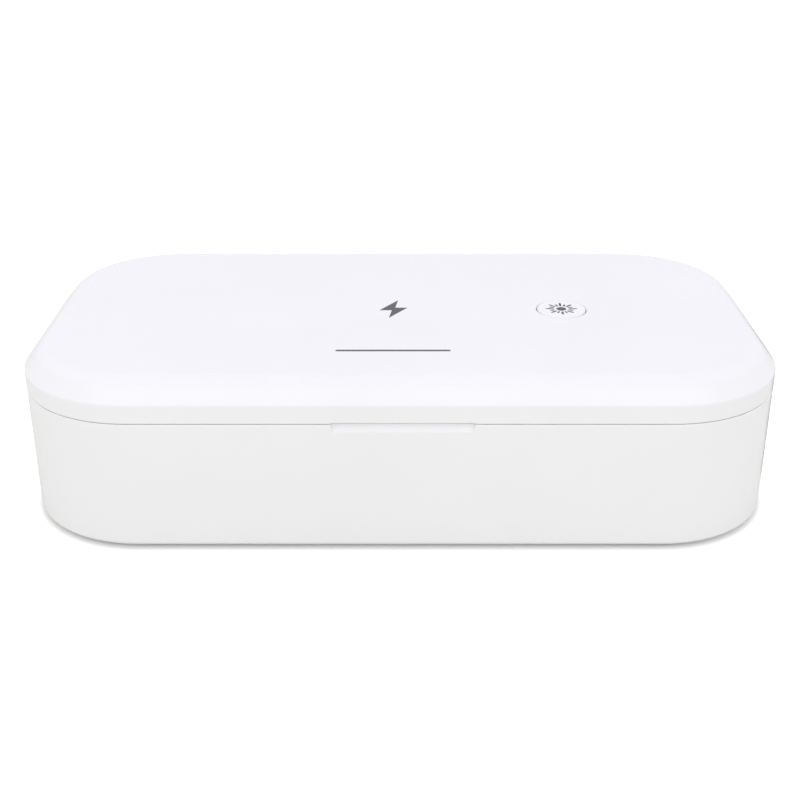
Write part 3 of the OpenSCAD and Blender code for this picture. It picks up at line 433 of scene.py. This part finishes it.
# %% Mesh helpers
def sheet_quads(rows, columns, closed=True):
    """Quads between neighbouring rows, and round from the last column to the first where it is closed."""
    r = np.arange(rows - 1)[:, None]
    c = np.arange(columns if closed else columns - 1)[None, :]
    here, right = r * columns + c, r * columns + (c + 1) % columns
    return np.stack([here, right, right + columns, here + columns], axis=-1).reshape(-1, 4)


def add_piece(name, points, faces, body, finish, slot, smooth=True):
    """Puts points and faces into a mesh that rides on a body."""
    mesh = bpy.data.meshes.new(name)
    faces = [face if isinstance(face, list) else face.tolist() for face in faces]
    mesh.from_pydata(points.tolist(), [], faces)
    mesh.materials.append(finish)
    mesh.polygons.foreach_set("use_smooth", np.full(len(mesh.polygons), smooth))
    mesh.update()
    piece = bpy.data.objects.new(name, mesh)
    bpy.context.scene.collection.objects.link(piece)
    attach(piece, body)
    return piece


def turned(rings):
    """Closed skin over rings of points (rows x columns x 3): quads between rings and a fan at each end."""
    rows, columns = rings.shape[:2]
    points = np.concatenate([rings.reshape(-1, 3), rings[:1].mean(axis=1), rings[-1:].mean(axis=1)])
    c = np.arange(columns)
    start = np.stack([np.full(columns, rows * columns), (c + 1) % columns, c], axis=-1)
    last = (rows - 1) * columns
    end = np.stack([np.full(columns, rows * columns + 1), last + c, last + (c + 1) % columns], axis=-1)
    return points, list(sheet_quads(rows, columns)) + list(start) + list(end)


SAME_PLACE = 1e-6


def solids_in(name):
    """Lowest and highest corner of each separate solid in a part. Points at the same place are one point, and
    each point takes the smallest label among its neighbours, over and over, until no label changes."""
    mesh = nodes[name].data
    places = np.empty(len(mesh.vertices) * 3, np.float32)
    mesh.vertices.foreach_get("co", places)
    places = places.reshape(-1, 3)
    ends = np.empty(len(mesh.edges) * 2, np.int32)
    mesh.edges.foreach_get("vertices", ends)
    rounded = np.round(places / SAME_PLACE).astype(np.int64)
    merged = np.unique(rounded, axis=0, return_inverse=True)[1].reshape(-1)
    ends = merged[ends.reshape(-1, 2)]
    label = np.arange(merged.max() + 1)
    while True:
        lowest = label[ends].min(axis=1)
        relabelled = label.copy()
        np.minimum.at(relabelled, ends[:, 0], lowest)
        np.minimum.at(relabelled, ends[:, 1], lowest)
        if (relabelled == label).all():
            break
        label = relabelled[relabelled]
    owner = label[merged]
    solids = [places[owner == solid] for solid in np.unique(owner)]
    return [(solid.min(axis=0), solid.max(axis=0)) for solid in solids]


print("panel screws:", len(solids_in("panel_screws")), "lamps in the lid:", len(solids_in("lid_lamps")))

# %% [markdown]
# ## Start button: the sun mark
# The button's cap is a shallow dish for a fingertip. Its printed mark is a small sun: a dot and sixteen
# rays, long and short in turn. A flat picture of it would float over the dish, so each ray is a sheet of
# points whose height follows the dish, a cap of a large sphere. Solidify then gives it the ink's thickness.

# %% Print the sun on the button
INK_THICKNESS = 0.03 * MM
BUTTON_RADIUS = 7.5 * MM
DISH_DEPTH = 0.15 * MM
DISH_RADIUS = 5.81 * MM
SUN_RAYS = 16
SUN_DOT_RADIUS = 1.5 * MM
RAY_START = 2.2 * MM
RAY_ENDS = (5.0 * MM, 3.95 * MM)
RAY_WIDTHS = (0.74 * MM, 0.64 * MM)
RAY_ROWS = 9
RAY_COLUMNS = 4
RAY_TIP_SHARE = 0.12
DOT_RINGS = 4
DOT_SIDES = 40
DOT_INNER_SHARE = 0.25

plunger_low, plunger_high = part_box("switch_plunger")
button_axis = (np.array(plunger_low) + np.array(plunger_high))[:2] / 2
button_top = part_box("start_button")[1].z


def dish_height(radius):
    """Height of the dished cap. The dish is a sphere's cap, so it lies close to depth x (1 - (r / R)^2)
    below its rim."""
    return button_top - DISH_DEPTH * np.clip(1 - (radius / DISH_RADIUS) ** 2, 0, 1)


def on_button(x, y):
    """Points of the print: x and y from the button's axis, lifted onto the dish."""
    return np.stack([button_axis[0] + x, button_axis[1] + y, dish_height(np.hypot(x, y))], axis=-1)


def thicken(piece, thickness):
    """Solidify from the surface upwards, so that the print stands on what carries it."""
    solid = piece.modifiers.new("ink", "SOLIDIFY")
    solid.thickness = thickness
    solid.offset = 1.0
    return piece


def sun_rays():
    """Rays as tapered strips: s runs from the inner to the outer end, t across, and the width swells from
    the tip's share at both ends by sin(pi x s) to the power 0.6."""
    s = np.linspace(0, 1, RAY_ROWS)[None, :, None]
    t = np.linspace(0.5, -0.5, RAY_COLUMNS)[None, None, :]
    turn = (np.arange(SUN_RAYS) * 2 * np.pi / SUN_RAYS)[:, None, None]
    is_short = (np.arange(SUN_RAYS) % 2)[:, None, None]
    reach = np.where(is_short, RAY_ENDS[1], RAY_ENDS[0])
    width = np.where(is_short, RAY_WIDTHS[1], RAY_WIDTHS[0])
    radius = RAY_START + (reach - RAY_START) * s + 0 * t
    across = width * t * (RAY_TIP_SHARE + (1 - RAY_TIP_SHARE) * np.sin(np.pi * s) ** 0.6)
    x = radius * np.cos(turn) - across * np.sin(turn)
    y = radius * np.sin(turn) + across * np.cos(turn)
    quads = sheet_quads(RAY_ROWS, RAY_COLUMNS, closed=False)
    first_point = np.arange(SUN_RAYS) * RAY_ROWS * RAY_COLUMNS
    faces = (quads[None] + first_point[:, None, None]).reshape(-1, 4)
    return on_button(x, y).reshape(-1, 3), faces


def sun_dot():
    """A disc of rings round the axis, with its middle point last."""
    turn = np.linspace(0, 2 * np.pi, DOT_SIDES, endpoint=False)[None, :]
    radius = np.linspace(1, DOT_INNER_SHARE, DOT_RINGS)[:, None] * SUN_DOT_RADIUS
    rings = on_button(radius * np.cos(turn), radius * np.sin(turn))
    points = np.concatenate([rings.reshape(-1, 3), rings[-1:].mean(axis=1)])
    inner, centre = (DOT_RINGS - 1) * DOT_SIDES, DOT_RINGS * DOT_SIDES
    fan = [[inner + c, inner + (c + 1) % DOT_SIDES, centre] for c in range(DOT_SIDES)]
    return points, list(sheet_quads(DOT_RINGS, DOT_SIDES)) + fan


sun_parts = [thicken(add_piece(name, *shape(), "button", INK, "button_cap"), INK_THICKNESS)
    for name, shape in (("sun_mark_rays", sun_rays), ("sun_mark_dot", sun_dot))]
print("sun mark:", [(part.name, len(part.data.polygons)) for part in sun_parts])

# %% [markdown]
# ## Lid: where to lay the phone
# The lid's middle carries a mark for the charging place. A bolt is the usual sign for charging, and a
# plain bar below it shows the phone's long side. Both are flat, so each is one outline filled with one
# face and thickened like the sun.

# %% Print the charging marks on the lid
lid_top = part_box("lid_shell")[1].z
coil_low, coil_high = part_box("charging_coil")
coil_axis = (np.array(coil_low) + np.array(coil_high))[:2] / 2
BOLT_HEIGHT = 15 * MM
BOLT_WIDTH = 8.6 * MM
BAR_LENGTH = 33 * MM
BAR_WIDTH = 1.1 * MM
BAR_DROP = 33.2 * MM


def bolt_outline():
    """A bolt drawn in a unit square, turned by half a circle into itself: three points give all six."""
    half = np.array([(0.16, 0.5), (-0.5, -0.07), (-0.06, -0.07)])
    return np.concatenate([half, -half]) * (BOLT_WIDTH, BOLT_HEIGHT)


def bar_outline():
    """A bar with round ends: two half circles whose far points are a bar length apart."""
    turn = np.linspace(-np.pi / 2, np.pi / 2, 13)
    end = np.stack([np.cos(turn), np.sin(turn)], axis=-1) * BAR_WIDTH / 2 + ((BAR_LENGTH - BAR_WIDTH) / 2, 0)
    return np.concatenate([end, -end]) - (0, BAR_DROP)


def lid_print(name, outline):
    """One flat face on the lid's top, with its place from the charging coil's axis."""
    points = np.column_stack([outline + coil_axis, np.full(len(outline), lid_top)])
    piece = add_piece(name, points, [list(range(len(points)))], "lid", INK, "white_shell", smooth=False)
    return thicken(piece, INK_THICKNESS)


lid_marks = [lid_print("charging_mark_bolt", bolt_outline()), lid_print("charging_mark_bar", bar_outline())]
print("marks on the lid:", [(mark.name, round(mark.data.polygons[0].normal.z, 3)) for mark in lid_marks])

# %% [markdown]
# ## Screws: heads with a cross recess
# A screw is turned, rolled and punched: its head is a low dome with a cross-shaped recess, and its thread
# is a helix. One sheet of rings makes the whole screw. Round the shank the radius dips by a saw of height
# minus turn, which is a helix. On the head one ring follows the outline of the cross, which in polar form
# is the nearest of two straight edges, and the rings after it repeat it lower and smaller.

# %% Model the screws
SCREW_COLUMNS = 64
CROSS_HALF_WIDTH = 0.3
CROSS_REACH_SHARE = 0.56
THREAD_DEPTH = 0.2 * MM
THREAD_PITCH = 0.75 * MM
RINGS_PER_PITCH = 8
TIP_LENGTH = 0.8 * MM
TIP_SHARE = 0.35
RUN_OUT = 0.5 * MM
# Radius as a share of the head's, and height as a share of its height
HEAD_PROFILE = ((0.99, 0.0), (1.0, 0.02), (1.0, 0.4), (0.97, 0.62), (0.88, 0.84), (0.74, 0.96), (0.6, 1.0))
# Size as a share of the cross's, and height as before
RECESS_PROFILE = ((1.04, 1.0), (0.98, 0.97), (0.82, 0.45), (0.6, 0.36), (0.12, 0.22))
# Body, radius of the shank, height of the head, and whether the shank points up or down
SCREW_KINDS = {
    "tray_screws": ("base", 1.25 * MM, 1.8 * MM, 1),
    "panel_screws": ("lid", 1.0 * MM, 1.1 * MM, 1),
    "carrier_screws": ("lid", 1.0 * MM, 1.1 * MM, 1),
    "main_board_screws": ("base", 1.0 * MM, 1.1 * MM, -1),
}


def cross_outline(turn, reach):
    """Distance from the axis to the edge of a plus sign: reach / cos near an arm's end, half width / sin
    along its flank, after the turn is folded into one eighth of the circle."""
    folded = np.abs((turn + np.pi / 4) % (np.pi / 2) - np.pi / 4)
    flank = CROSS_HALF_WIDTH * reach / np.maximum(np.sin(folded), 1e-9)
    return np.minimum(reach / np.cos(folded), flank)


def screw_rings(shank_radius, head_radius, head_height, length):
    """Rings from the shank's tip down to the floor of the recess. z = 0 is the seat under the head. The
    thread is the saw (z / pitch - turn / full turn) mod 1, folded into a ridge and faded out at the head."""
    turn = np.linspace(0, 2 * np.pi, SCREW_COLUMNS, endpoint=False)[None, :]
    shank_z = np.linspace(length, 0, 1 + int(length / (THREAD_PITCH / RINGS_PER_PITCH)))[:, None]
    saw = (shank_z / THREAD_PITCH - turn / (2 * np.pi)) % 1
    taper = np.clip((length - shank_z) / TIP_LENGTH, TIP_SHARE, 1)
    run_out = np.clip(shank_z / RUN_OUT, 0, 1)
    shank_r = shank_radius * taper - THREAD_DEPTH * run_out * np.abs(2 * saw - 1)
    head, recess = np.array(HEAD_PROFILE), np.array(RECESS_PROFILE)
    head_r = head[:, :1] * head_radius + 0 * turn
    recess_r = recess[:, :1] * cross_outline(turn, CROSS_REACH_SHARE * head_radius)
    radius = np.concatenate([shank_r, head_r, recess_r])
    under_seat = -np.concatenate([head[:, 1:], recess[:, 1:]]) * head_height
    z = np.concatenate([shank_z, under_seat]) + 0 * turn
    return np.stack([radius * np.cos(turn), radius * np.sin(turn), z], axis=-1)


SHARP_EDGE = math.radians(40)


def model_screws(node, body, shank_radius, head_height, direction):
    """Every screw of a part as one piece, each in the box of its CAD solid."""
    all_points, all_faces, count = [], [], 0
    for low, high in solids_in(node):
        head_radius = (high[0] - low[0]) / 2
        rings = screw_rings(shank_radius, head_radius, head_height, high[2] - low[2] - head_height)
        seat = low[2] + head_height if direction > 0 else high[2] - head_height
        points, faces = turned(rings * (1, direction, direction))
        all_points.append(points + ((low[0] + high[0]) / 2, (low[1] + high[1]) / 2, seat))
        all_faces += [face + count for face in faces]
        count += len(points)
    name = node.replace("screws", "cross_screws")
    piece = add_piece(name, np.concatenate(all_points), all_faces, body, ZINC, "zinc_screw")
    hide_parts(node)
    piece.data.set_sharp_from_angle(angle=SHARP_EDGE)
    return piece


screws = [model_screws(node, *kind) for node, kind in SCREW_KINDS.items()]
print("screws:", {piece.name: len(piece.data.polygons) for piece in screws})

# %% [markdown]
# ## Charging coil: a flat spiral of litz wire
# A charging coil is one wire wound flat from the inside out. The CAD part is a plain ring of the same size,
# so the wound one takes its place. A spiral's radius grows in step with its turn, and a circle carried along
# that path makes the wire. Its UV map runs in millimetres along the wire and by a fixed amount round it, so
# that the strands of the litz can be drawn slanting across it.

# %% Wind the coil
COIL_BORE = 10.5 * MM
COIL_TURNS = 14
POINTS_PER_TURN = 90
WIRE_SIDES = 10
STRAND_SLANT = 4.0
coil_radius = (coil_high[0] - coil_low[0]) / 2
wire_pitch = (coil_radius - COIL_BORE) / COIL_TURNS
WIRE_SHARE = 0.49
wire_radius = WIRE_SHARE * (coil_high[2] - coil_low[2])


def spiral_wire():
    """Circle carried along a flat spiral, in an upright plane. Its centre moves out evenly with the turn,
    from half a pitch outside the bore to half a pitch inside the rim."""
    turn = np.linspace(0, 2 * np.pi * COIL_TURNS, POINTS_PER_TURN * COIL_TURNS + 1)[:, None]
    middle = COIL_BORE + wire_pitch / 2 + (coil_radius - COIL_BORE - wire_pitch) * turn / turn[-1]
    side = np.linspace(0, 2 * np.pi, WIRE_SIDES, endpoint=False)[None, :]
    radius = middle + wire_radius * np.cos(side)
    x = coil_axis[0] + radius * np.cos(turn)
    y = coil_axis[1] + radius * np.sin(turn)
    z = (coil_low[2] + coil_high[2]) / 2 + wire_radius * np.sin(side) + 0 * turn
    length = np.concatenate([[0], np.cumsum(np.diff(turn[:, 0]) * middle[1:, 0])]) / MM
    return np.stack([x, y, z], axis=-1), length


wire_rings, wire_length = spiral_wire()
coil = add_piece("wound_coil", *turned(wire_rings), "lid", COPPER, "coil_copper")
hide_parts("charging_coil")


def wire_uv(piece, length):
    """UV per corner: u is the length along the wire in mm, and v is the slant times the share of the way
    round it."""
    corner_points = np.empty(len(piece.data.loops), np.int32)
    piece.data.loops.foreach_get("vertex_index", corner_points)
    row = np.minimum(corner_points // WIRE_SIDES, len(length) - 1)
    uv = np.stack([length[row], STRAND_SLANT * (corner_points % WIRE_SIDES) / WIRE_SIDES], axis=-1)
    layer = piece.data.uv_layers.new(name="wire")
    layer.data.foreach_set("uv", uv.astype(np.float32).reshape(-1))


wire_uv(coil, wire_length)
print("wire length in m:", round(wire_length[-1] * MM, 2), "faces:", len(coil.data.polygons))

# %% [markdown]
# ## Lamps: dome and die
# Behind its quartz window a lamp is a pale ceramic square with a round cap. The cap is solid in CAD, so
# the violet chip, a millimetre wide, is a thin plate on the cap's face, where it can be seen. The domes of
# clear silica lie within the cap, which hides them: rings of a flattened hemisphere that end in a pole. The
# dies are plates with softened edges, so that they show as a sharp little square.

# %% Lamp domes and dies
DOME_RADIUS = 1.25 * MM
DOME_RISE = 0.375 * MM
DOME_BELOW_FACE = 0.4 * MM
DOME_SIDES = 32
DOME_RINGS = 9
DOME_TOP_SHARE = 0.96
DIE_SIDE = 1.0 * MM
DIE_LIFT = 0.02 * MM
DIE_HALF_HEIGHT = 0.03 * MM


def domes(node, name, body, up):
    """One flattened hemisphere in each lamp: rings of radius cos(a) at height rise x sin(a)."""
    points, faces, count = [], [], 0
    turn = np.linspace(0, 2 * np.pi, DOME_SIDES, endpoint=False)[None, :]
    lift = np.linspace(0, DOME_TOP_SHARE, DOME_RINGS)[:, None] * np.pi / 2
    for low, high in solids_in(node):
        face_z = high[2] if up > 0 else low[2]
        x, y = (low[0] + high[0]) / 2, (low[1] + high[1]) / 2
        height = face_z - up * DOME_BELOW_FACE + up * DOME_RISE * np.sin(lift) + 0 * turn
        reach = DOME_RADIUS * np.cos(lift)
        ring = np.stack([x + reach * np.cos(turn), y + up * reach * np.sin(turn), height], axis=-1)
        shape, skin = turned(ring)
        points.append(shape)
        faces += [face + count for face in skin]
        count += len(shape)
    return add_piece(name, np.concatenate(points), faces, body, SILICA_DOME, "quartz_window")


def plates(name, centres, half, body, finish, slot, bevel_mm=0.05):
    """Thin blocks round given centres: the eight corners of a cube, stretched by half sizes, with soft
    edges."""
    corner = np.array([(x, y, z) for z in (-1, 1) for y in (-1, 1) for x in (-1, 1)])
    sides = np.array([(0, 2, 3, 1), (4, 5, 7, 6), (0, 1, 5, 4), (2, 6, 7, 3), (0, 4, 6, 2), (1, 3, 7, 5)])
    points = (np.asarray(centres)[:, None, :] + corner[None] * half).reshape(-1, 3)
    faces = (sides[None] + (8 * np.arange(len(centres)))[:, None, None]).reshape(-1, 4)
    piece = add_piece(name, points, faces, body, finish, slot, smooth=False)
    edges = piece.modifiers.new("soft edges", "BEVEL")
    edges.width = bevel_mm * MM
    edges.segments = 2
    return piece


DIE_HALF = np.array([DIE_SIDE / 2, DIE_SIDE / 2, DIE_HALF_HEIGHT])
lamp_sets = (("base_lamps", "base", 1), ("lid_lamps", "lid", -1))
for node, body, up in lamp_sets:
    domes(node, node.replace("lamps", "lamp_domes"), body, up)
    tips = [((low + high) / 2, high if up > 0 else low) for low, high in solids_in(node)]
    centres = [(middle[0], middle[1], tip[2] + up * DIE_LIFT) for middle, tip in tips]
    plates(node.replace("lamps", "lamp_dies"), centres, DIE_HALF, body, EMITTER, "lamp_package",
        bevel_mm=0.01)
print("lamps finished:", sum(len(solids_in(node)) for node, _, _ in lamp_sets))

# %% [markdown]
# ## Rear socket: gold contacts
# The socket's tongue carries a row of flat contacts on each face, half a millimetre apart. They are strips
# of gold-flashed metal let into the plastic, so each is a thin plate that stands a hair above it.

# %% Contacts on the socket's tongue
CONTACT_COUNT = 10
CONTACT_PITCH = 0.5 * MM
CONTACT_LENGTH = 4.2 * MM
CONTACT_HALF = np.array([0.13 * MM, CONTACT_LENGTH / 2, 0.02 * MM])
TONGUE_THICKNESS = 0.7 * MM
TONGUE_INSET = 1.2 * MM
socket_low, socket_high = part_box("usb_socket")
tongue_z = (socket_low.z + socket_high.z) / 2
contact_y = socket_high.y - TONGUE_INSET - CONTACT_LENGTH / 2
contact_x = (np.arange(CONTACT_COUNT) - (CONTACT_COUNT - 1) / 2) * CONTACT_PITCH
contact_centres = [(x, contact_y, tongue_z + face * TONGUE_THICKNESS / 2)
    for face in (-1, 1) for x in contact_x]
plates("socket_contacts", contact_centres, CONTACT_HALF, "base", GOLD, "socket_steel", bevel_mm=0.01)
print("contacts:", len(contact_centres))

# %% [markdown]
# ## Studio: white floor, soft light, the photograph's camera
# A white product on white is lit from all round, so that it shows by its own soft shading. Light that the
# camera sees directly is separated from light that falls on the object: the backdrop can then be pure white
# while the plastic stays just below it. The floor adds a glow that only the camera sees. It is weak under
# the box and reaches its full strength about two millimetres outside it: a painted shadow in the shape of
# the box's footprint, which deepens the real shadow into the thin dark line where the box stands.

# %% Backdrop and floor
FLOOR_SIZE = 6.0
FLOOR_PAPER = "E9E9DE"
FLOOR_GLOW = 0.6
PAINTED_SHADOW_GLOW = 0.17
GLOW_COLOUR = "E6E3FF"
SHADOW_FROM = -0.6 * MM
SHADOW_TO = 2.2 * MM
AMBIENT = "F9F8FE"
BACKDROP = "FFFFFF"

# The case without the hinges behind it: as wide as the whole box, and rounded at its corners
CASE_DEPTH = 118 * MM
CASE_CORNER = 35 * MM
CASE_HALF = (cad_box[1].x, CASE_DEPTH / 2)
CASE_MIDDLE_Y = cad_box[0].y + CASE_HALF[1]


def straight_to_camera(tree):
    """1 for rays from the camera or through a clear solid, and 0 for rays that light or mirror."""
    seen, through = [add_node(tree, "ShaderNodeLightPath", {}, ray)
        for ray in ("Is Camera Ray", "Is Transmission Ray")]
    return add_node(tree, "ShaderNodeMath", {0: seen, 1: through}, "Value", operation="MAXIMUM")


def outside_footprint(tree):
    """Distance outside the case's footprint: with q the point's distance past the axes of the round
    corners, in x and in y and never below 0, it is the length of q less the corner's radius."""
    where = add_node(tree, "ShaderNodeTexCoord", {}, "Object")
    corner_axis = (CASE_HALF[0] - CASE_CORNER, CASE_HALF[1] - CASE_CORNER, 0)
    steps = (("SUBTRACT", (0, CASE_MIDDLE_Y, 0)), ("ABSOLUTE", (0, 0, 0)), ("SUBTRACT", corner_axis),
        ("MAXIMUM", (0, 0, 0)))
    for operation, amount in steps:
        inputs = {0: where, 1: amount}
        where = add_node(tree, "ShaderNodeVectorMath", inputs, "Vector", operation=operation)
    length = add_node(tree, "ShaderNodeVectorMath", {0: where}, "Value", operation="LENGTH")
    return add_node(tree, "ShaderNodeMath", {0: length, 1: CASE_CORNER}, "Value", operation="SUBTRACT")


floor_mesh = bpy.data.meshes.new("floor")
floor_corners = np.array([(-1, -1, 0), (1, -1, 0), (1, 1, 0), (-1, 1, 0)]) * FLOOR_SIZE / 2
floor_mesh.from_pydata(floor_corners.tolist(), [], [[0, 1, 2, 3]])
floor = bpy.data.objects.new("floor", floor_mesh)
bpy.context.scene.collection.objects.link(floor)
paper, paper_tree, paper_skin = new_finish("floor_white_paper", FLOOR_PAPER, 0.9,
    Specular_IOR_Level=0.0)
# Painted shadow: the camera-only glow is cut down under the case's footprint and just round it
painted_shadow_glow = {"Value": outside_footprint(paper_tree), "From Min": SHADOW_FROM, "From Max": SHADOW_TO,
    "To Min": PAINTED_SHADOW_GLOW, "To Max": FLOOR_GLOW}
painted_shadow_glow = add_node(paper_tree, "ShaderNodeMapRange", painted_shadow_glow, "Result", interpolation_type="SMOOTHSTEP")
add_node(paper_tree, "ShaderNodeMath", {0: straight_to_camera(paper_tree), 1: painted_shadow_glow}, "Value",
    paper_skin.inputs["Emission Strength"], operation="MULTIPLY")
paper_skin.inputs["Emission Color"].default_value = linear(GLOW_COLOUR)
floor_mesh.materials.append(paper)

world = bpy.data.worlds.new("studio")
bpy.context.scene.world = world
world.use_nodes = True
sky = world.node_tree
background = next(node for node in sky.nodes if node.type == "BACKGROUND")
tones = {"Factor": straight_to_camera(sky), "A": linear(AMBIENT), "B": linear(BACKDROP)}
add_node(sky, "ShaderNodeMix", tones, "Result", background.inputs["Color"], data_type="RGBA")
print("floor", FLOOR_SIZE, "m, ambient light", AMBIENT)

# %% [markdown]
# ## Light, card and camera
# The light from all round is very slightly violet and the floor's paper slightly warm, which leaves the top
# a touch bluer than the walls. A wide softbox in front and above lifts the front. A grey card lies on the
# floor beside the box, a narrow fan on the right: only mirrors see it, and at a glancing angle gloss plastic
# is a mirror, so the right edge draws itself as a thin dark line against the white. The camera is a pinhole
# whose place follows from the outline in the photograph.

# %% Light, card and camera
BOX_MIDDLE = (0, 0, 0.03)
SOFTBOX_SIZE = (2.0, 0.8)
SOFTBOX_POWER = 2.4
SOFTBOX_PLACE = (0, -0.75, 0.75)


def aimed(name, data, place, target):
    """An object at place whose -Z axis looks at target."""
    holder = bpy.data.objects.new(name, data)
    holder.location = place
    holder.rotation_euler = (Vector(target) - Vector(place)).to_track_quat("-Z", "Y").to_euler()
    holder.visible_camera = False
    bpy.context.scene.collection.objects.link(holder)
    return holder


softbox = bpy.data.lights.new("softbox_front", "AREA")
softbox.shape = "RECTANGLE"
softbox.size, softbox.size_y = SOFTBOX_SIZE
softbox.energy = SOFTBOX_POWER
aimed("softbox_front", softbox, SOFTBOX_PLACE, BOX_MIDDLE)

# The fan opens from a point on the round corner at the front right, between two directions that are turned
# from +Y towards +X
CARD_COLOUR = "707070"
CARD_FROM = (0.1083, -0.0367)
CARD_TURNS = np.radians([15, 38])
CARD_REACH = (0.02, 0.2)
CARD_HEIGHT = 1 * MM
card_turn = CARD_TURNS[[0, 1, 1, 0]]
card_far = np.repeat(CARD_REACH, 2)
card_corners = np.stack([CARD_FROM[0] + card_far * np.sin(card_turn),
    CARD_FROM[1] + card_far * np.cos(card_turn), np.full(4, CARD_HEIGHT)], axis=-1)
card_mesh = bpy.data.meshes.new("grey_card")
card_mesh.from_pydata(card_corners.tolist(), [], [[0, 1, 2, 3]])
card = bpy.data.objects.new("grey_card", card_mesh)
card_mesh.materials.append(new_finish("card_grey", CARD_COLOUR, 0.9)[0])
bpy.context.scene.collection.objects.link(card)
for ray in ("camera", "diffuse", "transmission", "shadow", "volume_scatter"):
    setattr(card, "visible_" + ray, False)

CAMERA_PLACE = (0, -0.3694, 0.1914)
CAMERA_PITCH = 25.08
LENS = 56.7
SENSOR_WIDTH = 36
CLIP_START = 0.01
camera_data = bpy.data.cameras.new("camera")
camera_data.sensor_width = SENSOR_WIDTH
camera_data.lens = LENS
camera_data.clip_start = CLIP_START
camera = bpy.data.objects.new("camera", camera_data)
camera.location = CAMERA_PLACE
camera.rotation_euler = (math.radians(90 - CAMERA_PITCH), 0, 0)
bpy.context.scene.collection.objects.link(camera)
bpy.context.scene.camera = camera
bpy.context.scene.view_settings.view_transform = "Standard"
print("camera", round(math.dist(CAMERA_PLACE, BOX_MIDDLE) / MM), "mm from the middle of the box")
